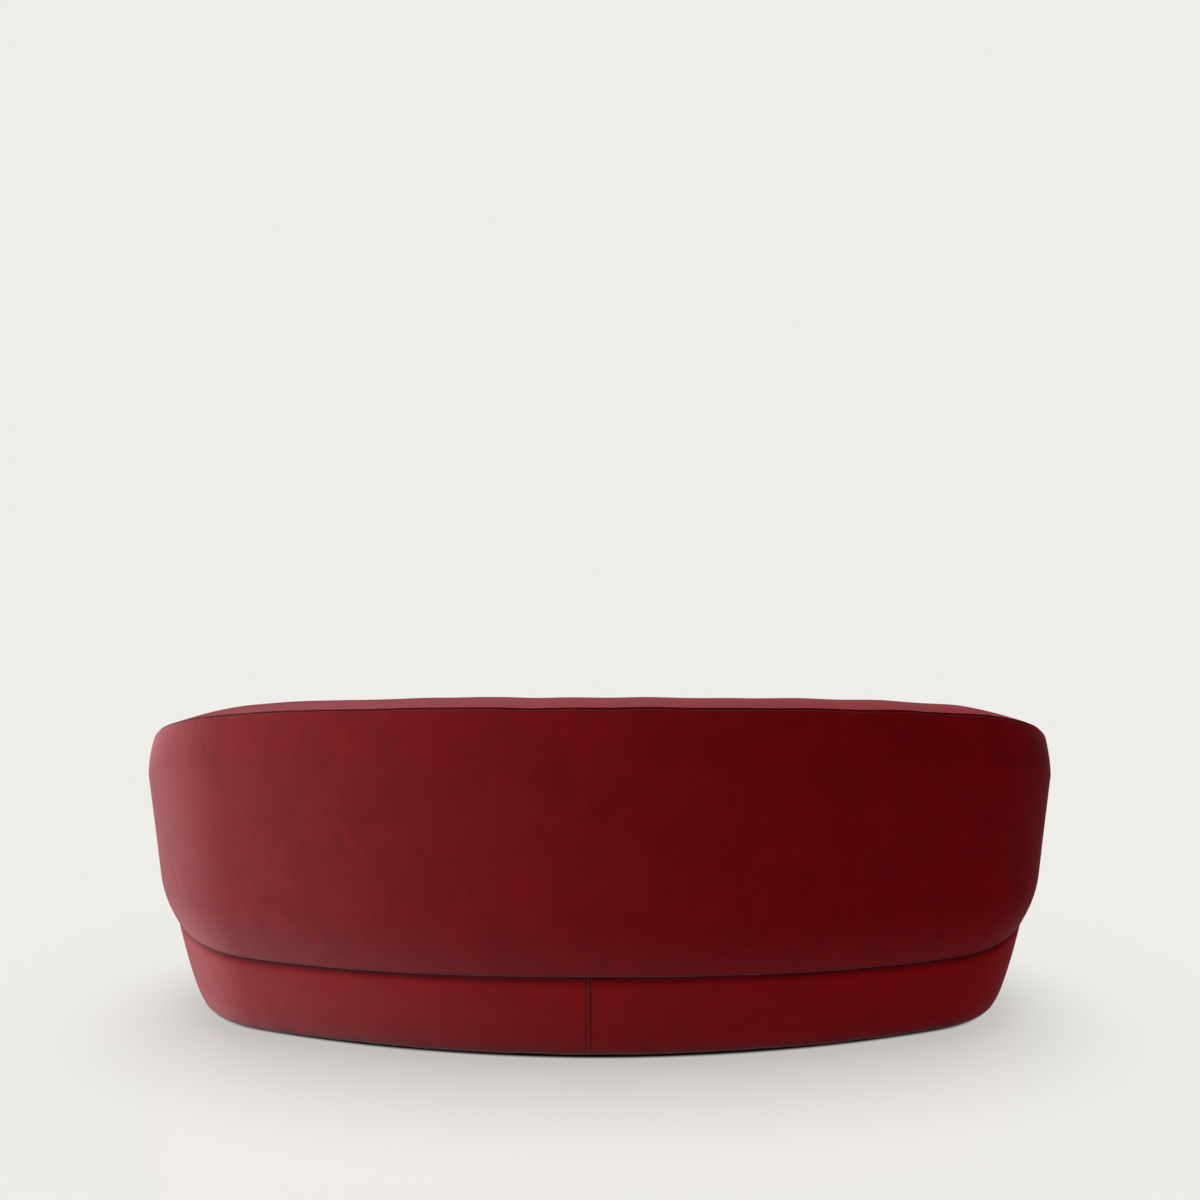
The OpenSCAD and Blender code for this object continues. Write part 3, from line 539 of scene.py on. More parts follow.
def velvet(colours, turned=False):
    """Cut-pile cotton velvet: a dense upright pile that is dark where it is looked into and
    pale where it is seen from the side, with a nap that sitting and brushing lay unevenly.
    The base has its own copy, painted lighter for the light that the floor throws up onto it."""
    made, tree = new_material("Cotton velvet, cut pile" + (", turned" if turned else ""))
    if tree is None:
        return made
    place = add_node(tree, "ShaderNodeTexCoord").outputs["Object"]
    # The nap lies unevenly in patches 30 to 90 mm wide
    patches = add_node(tree, "ShaderNodeTexNoise", {
        "Vector": place, "Scale": 1 / 0.08, "Detail": 2.0, "Roughness": 0.5,
        "Distortion": 0.8}).outputs["Fac"]
    # Brush marks 8 mm wide run down the cloth, twice as long
    run = add_node(tree, "ShaderNodeMapping", {"Vector": place, "Scale": (1, 1, 0.5)})
    marks = add_node(tree, "ShaderNodeTexNoise", {
        "Vector": run.outputs["Vector"], "Scale": 1 / 0.016, "Detail": 2.0,
        "Roughness": 0.6, "Distortion": 0.5}).outputs["Fac"]
    # Tufts stand 0.5 mm apart and lie in little swirls, drawn at 4 mm so that they show
    tufts = add_node(tree, "ShaderNodeTexNoise", {
        "Vector": place, "Scale": 1 / 0.0045, "Detail": 3.0, "Roughness": 0.7}).outputs["Fac"]
    lie = patches
    for layer, share in ((marks, 0.4), (tufts, 0.5)):
        lie = add_node(tree, "ShaderNodeMath", {0: layer, 1: share, 2: lie},
                       operation="MULTIPLY_ADD").outputs[0]
    lie = add_node(tree, "ShaderNodeMapRange", {
        "Value": lie, "From Min": 0.6, "From Max": 1.35}).outputs["Result"]
    # On the base both tones are a step lighter, as painted light from the floor
    shade = add_node(tree, "ShaderNodeMix", {
        0: lie, 6: tuple(colours.velvet if turned else colours.velvet_deep),
        7: tuple(colours.velvet_base_lit if turned else colours.velvet)}, data_type="RGBA")
    # At seams, folds and the foot of the base the colour darkens to this: partly the pile parting,
    # and partly painted shade in the creases, under the hem's fold and towards the floor
    parted_pile_and_shade = add_node(tree, "ShaderNodeAttribute", attribute_name="parted_pile_and_shade").outputs["Fac"]
    shade = add_node(tree, "ShaderNodeMix", {
        0: parted_pile_and_shade, 6: shade.outputs[2], 7: linear("#300003")}, data_type="RGBA")
    # The pile leans along the roll, so that one end shows its tips and the other its depth
    facing = add_node(tree, "ShaderNodeNewGeometry").outputs["Normal"]
    leaning = add_node(tree, "ShaderNodeVectorMath", {0: facing, 1: (0.45, 0, 0)})
    relief = add_node(tree, "ShaderNodeVectorMath", {0: leaning.outputs[0]},
                      operation="NORMALIZE").outputs[0]
    for layer, depth in ((patches, 0.9 * MM), (marks, 0.2 * MM), (tufts, 0.3 * MM)):
        relief = add_node(tree, "ShaderNodeBump", {
            "Height": layer, "Distance": depth, "Normal": relief}).outputs["Normal"]
    shader = add_node(tree, "ShaderNodeBsdfPrincipled", {
        "Base Color": shade.outputs[2], "Roughness": 0.9, "Specular IOR Level": 0.0,
        "Sheen Weight": 0.65, "Sheen Roughness": 0.47,
        "Sheen Tint": tuple(colours.velvet_sheen), "Normal": relief})
    add_node(tree, "ShaderNodeOutputMaterial", {"Surface": shader.outputs["BSDF"]})
    return made


def sewing_thread(colours):
    """Bonded polyester thread: smooth, and a little shinier than the cloth it holds"""
    made, tree = new_material("Polyester sewing thread, bonded")
    if tree is None:
        return made
    place = add_node(tree, "ShaderNodeTexCoord").outputs["Object"]
    # The plies turn about once in 0.8 mm
    plies = add_node(tree, "ShaderNodeTexNoise", {
        "Vector": place, "Scale": 1 / 0.0008, "Detail": 1.0}).outputs["Fac"]
    relief = add_node(tree, "ShaderNodeBump", {"Height": plies, "Distance": 0.1 * MM})
    shader = add_node(tree, "ShaderNodeBsdfPrincipled", {
        "Base Color": tuple(colours.thread), "Roughness": 0.5, "IOR": 1.55,
        "Normal": relief.outputs["Normal"]})
    add_node(tree, "ShaderNodeOutputMaterial", {"Surface": shader.outputs["BSDF"]})
    return made


# A wave texture of scale 1 repeats after this length
WAVE = 0.314


def woven_cloth(name, code, pitch, relief_depth):
    """A plain weave, or the points at which a spunbonded cloth is pressed together: two
    crossed waves at the pitch"""
    made, tree = new_material(name)
    if tree is None:
        return made
    place = add_node(tree, "ShaderNodeTexCoord").outputs["Object"]
    warp, weft = [add_node(tree, "ShaderNodeTexWave", {
        "Vector": place, "Scale": WAVE / pitch, "Distortion": 0.2,
        "Detail": 1.0}, bands_direction=way).outputs["Fac"] for way in ("X", "Y")]
    weave = add_node(tree, "ShaderNodeMath", {0: warp, 1: weft}, operation="MULTIPLY")
    low = [part * 0.75 for part in linear(code)[:3]] + [1.0]
    shade = add_node(tree, "ShaderNodeMix", {
        0: weave.outputs[0], 6: low, 7: linear(code)}, data_type="RGBA")
    relief = add_node(tree, "ShaderNodeBump", {
        "Height": weave.outputs[0], "Distance": relief_depth})
    shader = add_node(tree, "ShaderNodeBsdfPrincipled", {
        "Base Color": shade.outputs[2], "Roughness": 0.9, "Sheen Weight": 0.2,
        "Normal": relief.outputs["Normal"]})
    add_node(tree, "ShaderNodeOutputMaterial", {"Surface": shader.outputs["BSDF"]})
    return made


def plywood():
    """Rotary-cut birch plywood, unfinished: pale, with long faint grain and thin plies that
    show as stripes on a sawn edge"""
    made, tree = new_material("Birch plywood, rotary cut")
    if tree is None:
        return made
    place = add_node(tree, "ShaderNodeTexCoord").outputs["Object"]
    # Grain lines stand about 3 mm apart and run 20 times as long
    run = add_node(tree, "ShaderNodeMapping", {"Vector": place, "Scale": (0.05, 1, 0.6)})
    grain = add_node(tree, "ShaderNodeTexNoise", {
        "Vector": run.outputs["Vector"], "Scale": 1 / 0.006, "Detail": 4.0}).outputs["Fac"]
    # Plies are 1.5 mm thick
    plies = add_node(tree, "ShaderNodeTexWave", {
        "Vector": place, "Scale": WAVE / 0.003}, bands_direction="Z").outputs["Fac"]
    shade = add_node(tree, "ShaderNodeMix", {
        0: grain, 6: linear("#b98f5e"), 7: linear("#e2c79c")}, data_type="RGBA")
    edge = add_node(tree, "ShaderNodeMix", {
        0: plies, 6: shade.outputs[2], 7: linear("#d0ac7c")}, data_type="RGBA")
    relief = add_node(tree, "ShaderNodeBump", {"Height": grain, "Distance": 0.15 * MM})
    shader = add_node(tree, "ShaderNodeBsdfPrincipled", {
        "Base Color": edge.outputs[2], "Roughness": 0.65, "IOR": 1.5,
        "Normal": relief.outputs["Normal"]})
    add_node(tree, "ShaderNodeOutputMaterial", {"Surface": shader.outputs["BSDF"]})
    return made


def bent_board():
    """Bending hardboard of pressed wood fibre: brown, even, slightly polished by the press"""
    made, tree = new_material("Hardboard, pressed fibre")
    if tree is None:
        return made
    place = add_node(tree, "ShaderNodeTexCoord").outputs["Object"]
    # Fibre bundles are about 1 mm long
    fibres = add_node(tree, "ShaderNodeTexNoise", {
        "Vector": place, "Scale": 1 / 0.002, "Detail": 5.0, "Roughness": 0.7}).outputs["Fac"]
    shade = add_node(tree, "ShaderNodeMix", {
        0: fibres, 6: linear("#5a3d26"), 7: linear("#94704a")}, data_type="RGBA")
    relief = add_node(tree, "ShaderNodeBump", {"Height": fibres, "Distance": 0.1 * MM})
    shader = add_node(tree, "ShaderNodeBsdfPrincipled", {
        "Base Color": shade.outputs[2], "Roughness": 0.55, "IOR": 1.5,
        "Normal": relief.outputs["Normal"]})
    add_node(tree, "ShaderNodeOutputMaterial", {"Surface": shader.outputs["BSDF"]})
    return made


def zinc_steel():
    """Zinc-plated steel: bright and slightly blue, dulled in soft patches by handling"""
    made, tree = new_material("Steel, zinc plated")
    if tree is None:
        return made
    place = add_node(tree, "ShaderNodeTexCoord").outputs["Object"]
    # Dull patches are about 6 mm across
    patches = add_node(tree, "ShaderNodeTexNoise", {
        "Vector": place, "Scale": 1 / 0.006, "Detail": 3.0}).outputs["Fac"]
    rough = add_node(tree, "ShaderNodeMapRange", {
        "Value": patches, "To Min": 0.28, "To Max": 0.5}).outputs["Result"]
    shade = add_node(tree, "ShaderNodeMix", {
        0: patches, 6: linear("#a9adb2"), 7: linear("#c8ccd0")}, data_type="RGBA")
    shader = add_node(tree, "ShaderNodeBsdfPrincipled", {
        "Base Color": shade.outputs[2], "Metallic": 1.0, "Roughness": rough})
    add_node(tree, "ShaderNodeOutputMaterial", {"Surface": shader.outputs["BSDF"]})
    return made


def moulded_nylon():
    """Moulded nylon: matt, nearly black, with the fine spark texture of its mould"""
    made, tree = new_material("Nylon, moulded")
    if tree is None:
        return made
    place = add_node(tree, "ShaderNodeTexCoord").outputs["Object"]
    # The mould's texture has a grain of about 0.5 mm
    grain = add_node(tree, "ShaderNodeTexNoise", {
        "Vector": place, "Scale": 1 / 0.0005, "Detail": 2.0}).outputs["Fac"]
    shade = add_node(tree, "ShaderNodeMix", {
        0: grain, 6: linear("#101011"), 7: linear("#1c1c1e")}, data_type="RGBA")
    relief = add_node(tree, "ShaderNodeBump", {"Height": grain, "Distance": 0.05 * MM})
    shader = add_node(tree, "ShaderNodeBsdfPrincipled", {
        "Base Color": shade.outputs[2], "Roughness": 0.55, "IOR": 1.53,
        "Normal": relief.outputs["Normal"]})
    add_node(tree, "ShaderNodeOutputMaterial", {"Surface": shader.outputs["BSDF"]})
    return made


# The pieces

def chosen(context):
    return context.scene.sofa_sizes, context.scene.sofa_colours


def step():
    """Spacing of the points on cloth"""
    return 7.5 * MM


def edged_turns(form, inset):
    """Angles from arm end to arm end, close together next to both"""
    first, last = form.arm_end, math.pi - form.arm_end
    even = form.turns(first, last, step(), inset)
    radius = form.s.front_corner - inset
    low = first + SEAM_ROWS / radius
    high = last - SEAM_ROWS[::-1] / radius
    inner = even[(even > low[-1] + 0.5 * step()) & (even < high[0] - 0.5 * step())]
    return np.concatenate([low, inner, high])


def end_distance(form, turn, inset):
    """Distance along the outline to the nearer arm end, up to a corner's length"""
    nearer = np.minimum(turn - form.arm_end, math.pi - form.arm_end - turn)
    return np.maximum(0, nearer) * (form.s.front_corner - inset)


# Shares of its depth at which a cover that turns in behind its ends is given points
RETURNS = np.array([1, 0.75, 0.5, 0.25])


def with_returns(rows):
    """Repeats the first and the last row, once for each of the returns"""
    return np.concatenate([rows[:1]] * len(RETURNS) + [rows] + [rows[-1:]] * len(RETURNS))


class SOFA_OT_outer_cover(bpy.types.Operator):
    """The outer cover of the backrest, drawn down over its foam and turned in at the hem"""
    bl_idname = "sofa.outer_cover"
    bl_label = "Outer cover"
    bl_options = {"REGISTER", "UNDO"}

    fold_r = 4 * MM
    # The outer face is about this far inside the outline
    face_in = 20 * MM
    return_in = 8 * MM

    def execute(self, context):
        sizes, colours = chosen(context)
        form = Form(sizes)
        turn = edged_turns(form, self.face_in)
        f = np.linspace(0, 1, 160) ** 1.3
        inset, z = form.wall(turn[:, None], f[None, :])
        # The hem turns in and up round a small fold
        slope = np.arctan2(inset[:, 0] - inset[:, 1], z[:, 1] - z[:, 0])[:, None]
        a = np.radians(np.linspace(195, 0, 14))[None, :-1]
        cx = inset[:, :1] + self.fold_r * np.cos(slope)
        cz = z[:, :1] + self.fold_r * np.sin(slope)
        fold = np.stack([cx - self.fold_r * np.cos(slope + a),
                         cz - self.fold_r * np.sin(slope + a)], -1)
        lines = np.concatenate([fold, np.stack([inset, z], -1)], 1)
        fold_run = self.fold_r * a[0, 0]
        low = np.concatenate([np.linspace(0, fold_run, 9), fold_run + SEAM_ROWS[1:]])
        rows, from_low, from_top = spaced(lines, low, SEAM_ROWS, step())
        # Each end turns in, up to the skirt or behind the padded end panel of the arm
        skirt = form.skirt_in(rows[0, :, 1]) - rows[0, :, 0] - 1.5 * MM
        depth = np.where(rows[0, :, 1] < form.shoulder, np.maximum(skirt, 0), self.return_in)
        rows, turn, from_low, from_top = map(with_returns, (rows, turn, from_low, from_top))
        rows[:len(RETURNS), :, 0] += RETURNS[:, None] * depth
        rows[-len(RETURNS):, :, 0] += RETURNS[::-1, None] * depth
        points = form.at(turn[:, None], rows[..., 0], rows[..., 1])
        ends = end_distance(form, turn, self.face_in)[:, None] + 0 * from_top
        seam = np.minimum(from_top, np.where(rows[..., 1] > form.shoulder, ends, ends + 0.02))
        beyond = np.where((from_top < ends)[..., None], (0, 0, 1),
                          form.past_end(turn)[:, None])
        points = upholster(points, seam, beyond, 3.1, shallow=from_top >= ends)
        made = add_mesh("outer_cover", points, grid_faces(*points.shape[:2]))
        # Painted shade round the fold of the hem; in the seams the pile parting with painted shade
        under = 0.85 * smooth((fold_run + 5 * MM - from_low) / (7 * MM))
        mark(made, "parted_pile_and_shade", np.maximum(SEAM_PARTING_AND_SHADE * near_edge(seam, SEAM_REACH), under))
        thicken(made, sizes.cloth)
        finish_piece(made, velvet(colours), "sofa_body", "velvet", "back_outer_cover",
                     "back_outer_foam")
        return {"FINISHED"}


class SOFA_OT_inner_cover(bpy.types.Operator):
    """The inner cover, over the top of the backrest and down its face to the deck"""
    bl_idname = "sofa.inner_cover"
    bl_label = "Inner cover"
    bl_options = {"REGISTER", "UNDO"}

    # The top and the inner face are about this far inside the outline
    face_in = 100 * MM

    def execute(self, context):
        sizes, colours = chosen(context)
        form = Form(sizes)
        turn = edged_turns(form, self.face_in)
        top = np.stack(form.top(turn[:, None], np.linspace(0, 1, 120)[None, :] ** 0.8), -1)
        face = np.stack(form.face(turn[:, None], np.linspace(0, 1, 120)[None, 1:]), -1)
        lines = np.concatenate([top, face], 1)
        rows, from_seam, _ = spaced(lines, SEAM_ROWS, np.array([0.0, 4 * MM]), step())
        points = form.at(turn[:, None], rows[..., 0], rows[..., 1])
        ends = end_distance(form, turn, self.face_in)[:, None] + 0 * from_seam
        beyond = np.where((from_seam < ends)[..., None], form.outward(turn)[:, None],
                          form.past_end(turn)[:, None])
        seam = np.minimum(from_seam, ends)
        points = upholster(points, seam, beyond, 7.7, swell=1.6 * MM,
                           shallow=from_seam >= ends)
        made = add_mesh("inner_cover", points, grid_faces(*points.shape[:2]))
        # The seams are painted darker: the pile parting, and painted shade in their grooves
        mark(made, "parted_pile_and_shade", SEAM_PARTING_AND_SHADE * near_edge(seam, SEAM_REACH))
        thicken(made, sizes.cloth)
        finish_piece(made, velvet(colours), "sofa_body", "velvet", "back_inner_cover",
                     "back_inner_foam", "back_top_foam")
        return {"FINISHED"}


class SOFA_OT_arm_facings(bpy.types.Operator):
    """The padded end panels of the two arms"""
    bl_idname = "sofa.arm_facings"
    bl_label = "Arm end panels"
    bl_options = {"REGISTER", "UNDO"}

    # The middle of a panel stands out this far, over a foam that rounds off to its edge
    dome = 7 * MM
    dome_reach = 45 * MM
    foot_drop = 8 * MM

    def execute(self, context):
        sizes, colours = chosen(context)
        form = Form(sizes)
        end = np.full(1, form.arm_end)[:, None]
        lines = np.concatenate([np.stack(line(end, np.linspace(0, 1, 200)[None, :]), -1)
                                for line in (form.wall, form.top, form.face)], 1)[0]
        low = form.shoulder - self.foot_drop
        lines = lines[lines[:, 1] > low]
        foot = np.array([[lines[-1, 0], low], [lines[0, 0], low]])
        edge, _, _ = spaced(np.concatenate([lines, foot, lines[:1]])[None], np.zeros(1),
                            np.zeros(1), 5 * MM)
        edge = edge[0][:-1]
        cell = 5 * MM
        grid = np.stack(np.meshgrid(np.arange(edge[:, 0].min(), edge[:, 0].max(), cell),
                                    np.arange(low, edge[:, 1].max(), cell)), -1)
        inner = [p for p in grid.reshape(-1, 2) if self.depth(p, edge)[0] > 0.6 * cell]
        count = len(edge)
        flat = [Vector(p) for p in list(edge) + inner]
        loops = [(i, (i + 1) % count) for i in range(count)]
        corners, _, patches = delaunay_2d_cdt(flat, loops, [], 1, 1e-6)[:3]
        place = np.array([tuple(p) for p in corners])
        found_at = [self.depth(p, edge) for p in place]
        depth = np.maximum(0, [found[0] for found in found_at])
        rise = self.dome * (1 - near_edge(depth, self.dome_reach) ** 2.4)
        # Half of the dip goes back, half of it in from the edge
        dip = (ARM_SEAM * SEAM_DEPTH * math.sqrt(0.5) * near_edge(depth, SEAM_REACH) ** 2
               * (place[:, 1] > form.shoulder + 1 * MM))
        rise -= dip
        place = place + dip[:, None] * np.array([found[1] for found in found_at])
        turned = np.array([math.cos(form.arm_end), math.sin(form.arm_end)])
        ahead = np.array([math.sin(form.arm_end), -math.cos(form.arm_end)])
        cx, cy = form.half - sizes.front_corner, form.wide_y
        reach = sizes.front_corner - place[:, 0]
        for side, word in ((1, "left"), (-1, "right")):
            wave = waves(np.stack([place[:, 0], place[:, 1], 0 * reach], -1), 0.05,
                         4.0 + side)
            out = rise + 1.0 * MM * wave * smooth(depth / 0.02)
            x = cx + reach * turned[0] + out * ahead[0]
            y = cy + reach * turned[1] + out * ahead[1]
            points = np.stack([side * x, y, place[:, 1]], -1)
            faces = [list(face)[::side] for face in patches]
            made = add_mesh("arm_end_panel_" + word, points, faces)
            if self.faces_in(made, side, ahead):
                made.data.flip_normals()
            thicken(made, sizes.cloth)
            cad = "right" if (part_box("arm_facing_right")[0][0] > 0) == (side > 0) else "left"
            finish_piece(made, velvet(colours), "sofa_body", "velvet", "arm_facing_" + cad,
                         "arm_end_foam_" + cad)
        return {"FINISHED"}

    @staticmethod
    def depth(point, edge):
        """Distance inside a closed outline, or below 0 outside it, and the way in from the
        nearest stretch of it"""
        a, b = edge, np.roll(edge, -1, axis=0)
        along = b - a
        k = np.clip(((point - a) * along).sum(1) / np.maximum((along ** 2).sum(1), 1e-12),
                    0, 1)
        gaps = np.linalg.norm(a + along * k[:, None] - point, axis=1)
        near = gaps.argmin()
        crosses = (a[:, 1] > point[1]) != (b[:, 1] > point[1])
        at = a[:, 0] + (point[1] - a[:, 1]) * along[:, 0] / np.where(crosses, along[:, 1], 1)
        inside = (crosses & (point[0] < at)).sum() % 2
        turned = np.sign((a[:, 0] * b[:, 1] - a[:, 1] * b[:, 0]).sum())
        way_in = turned * np.array([-along[near, 1], along[near, 0]])
        return (gaps[near] if inside else -gaps[near],
                way_in / max(np.linalg.norm(way_in), 1e-9))

    @staticmethod
    def faces_in(made, side, ahead):
        mean = sum((face.normal for face in made.data.polygons), Vector())
        return mean.x * side * ahead[0] + mean.y * ahead[1] < 0


class SOFA_OT_skirt(bpy.types.Operator):
    """The cover of the base, turned under at the floor and in at its upper edge"""
    bl_idname = "sofa.skirt"
    bl_label = "Skirt"
    bl_options = {"REGISTER", "UNDO"}

    # Under the hem the cover is drawn in, with the middle of the groove a drop below it
    groove = 5 * MM
    groove_half = 13 * MM
    groove_drop = 6 * MM
    # The velvet runs this far over the deck
    band = 108 * MM
    edge_r = 4 * MM
    # Each row of stitches runs this far inside an edge of the felled seam
    stitch_in = 0.9 * MM

    def profile(self, form):
        """One upright line of the cover, in insets and heights: tucked under at the floor,
        rolled over the upper edge and in along the deck. Returns it with the inset of that
        edge, and the height at which it starts to roll."""
        z = np.linspace(form.skirt_low, form.s.skirt, 120)
        inset = form.skirt_in(z)
        r = self.edge_r
        a = np.radians(np.linspace(150, 0, 10))[:-1]
        tuck = np.stack([inset[0] + r - r * np.cos(a), z[0] + 1 * MM - r * np.sin(a)], -1)
        a = np.radians(np.linspace(0, 90, 8))[1:]
        roll = np.stack([inset[-1] + r - r * np.cos(a), z[-1] - r + r * np.sin(a)], -1)
        line = np.concatenate([tuck, np.stack([inset, z], -1)[:-2], roll,
                               [[inset[-1] + 12 * MM, form.deck_top],
                                [inset[-1] + self.band + 8 * MM, form.deck_top]]])
        low = np.concatenate([np.linspace(0, 10 * MM, 8), 10 * MM + SEAM_ROWS[1:]])
        high = np.concatenate([np.linspace(0, self.band, 14),
                               self.band + np.linspace(1, 10, 7) * MM])
        return spaced(line[None], low, high, step())[0], inset[-1], z[-8]

    def execute(self, context):
        sizes, colours = chosen(context)
        form = Form(sizes)
        turn = form.round(step(), 0.07)
        seam = QUARTER - math.asin(sizes.seam_x / form.rear_r)
        gap = sizes.seam_w / 2 / form.rear_r
        spread = np.concatenate([-SEAM_ROWS[::-1], SEAM_ROWS[1:]]) / form.rear_r
        close = np.concatenate([seam - gap + spread, [seam], seam + gap + spread])
        turn = np.sort(np.concatenate([
            turn[np.abs(turn - seam) > 0.024 / form.rear_r + gap], np.unique(close)]))
        line, edge, rolled = self.profile(form)
        rows = np.repeat(line, len(turn), 0)
        # Behind the backrest the cloth ends 14 mm past the edge, under the frame
        past = np.maximum(rows[..., 0] - edge - 10 * MM, 0) * (rows[..., 1] > rolled)
        rows[..., 0] -= past * (1 - form.before_arms(turn))[:, None] * 0.96
        hem_z = form.hem_z(turn)[:, None]
        hem = near_edge(np.abs(rows[..., 1] - hem_z + self.groove_drop), self.groove_half)
        in_arms = (turn > form.arm_end) & (turn < math.pi - form.arm_end)
        rows[..., 0] += self.groove * smooth(hem) * in_arms[:, None]
        points = form.at(turn[:, None], rows[..., 0], rows[..., 1])
        # Two rows of stitches hold the felled seam, with a ridge between them
        off_seam = np.abs(turn - seam) * form.rear_r
        shown = (smooth((rows[..., 1] - form.skirt_low - 1 * MM) / (8 * MM))
                 * (rows[..., 1] < hem_z))
        beside = near_edge(np.abs(off_seam - sizes.seam_w / 2 + self.stitch_in), 3.2 * MM)
        out = normals(points, ring=True)
        ridge = 0.9 * MM * np.clip(1 - (off_seam / (sizes.seam_w / 2)) ** 2, 0, 1)
        felled = (ridge - 1.1 * MM * beside ** 1.3)[:, None] * shown
        drawn = near_edge(off_seam, 0.05)[:, None] * near_edge(hem_z - rows[..., 1], 0.05)
        felled += 1.2 * MM * drawn * waves(points, 18 * MM, 3.9) * shown
        broad = 0.9 * MM * waves(points, 0.25, 2.2) + 0.35 * MM * waves(points, 0.06, 8.8)
        floor_edge = near_edge(rows[..., 1] - form.skirt_low, 0.030)
        gather = 0.9 * MM * floor_edge * waves(points * [1, 1, 0.3], 0.035, 5.5)
        points = points + out * (felled + broad + gather)[..., None]
        made = add_mesh("skirt_cover_velvet", points,
                        grid_faces(len(turn), points.shape[1], ring=True))
        # Painted shade in the crease under the hem and darker towards the floor, and along the
        # stitches the pile parting with painted shade
        crease_shade = near_edge(np.abs(rows[..., 1] - hem_z + 4 * MM), 14 * MM) * in_arms[:, None]
        foot = near_edge(rows[..., 1] - form.skirt_low, 14 * MM)
        mark(made, "parted_pile_and_shade", np.maximum.reduce([0.85 * smooth(crease_shade * 1.3), 0.8 * foot,
                                                0.9 * beside[:, None] * shown]))
        thicken(made, sizes.cloth)
        # The base's velvet is painted lighter, for the light that the floor throws up onto it
        finish_piece(made, velvet(colours, turned=True), "sofa_body", "velvet", "skirt_cover",
                     "skirt_foam", "skirt_back_seam")
        self.stitches(form, colours, seam)
        return {"FINISHED"}

    def stitches(self, form, colours, seam):
        """Stitches 3.2 mm long at 4 mm along both edges of the felled seam"""
        beads, sizes = Beads(), form.s
        for side in (-1, 1):
            at = seam + side * (sizes.seam_w / 2 - self.stitch_in) / form.rear_r
            for z in np.arange(form.skirt_low + 9 * MM, sizes.hem - 12 * MM, 4 * MM):
                ends = [form.at(at, form.skirt_in(level) + 1.9 * MM, level)
                        for level in (z, z + 3.2 * MM)]
                beads.add(*ends, 0.4 * MM)
        made = beads.mesh("skirt_seam_stitches")
        finish_piece(made, sewing_thread(colours), "sofa_body", "velvet")


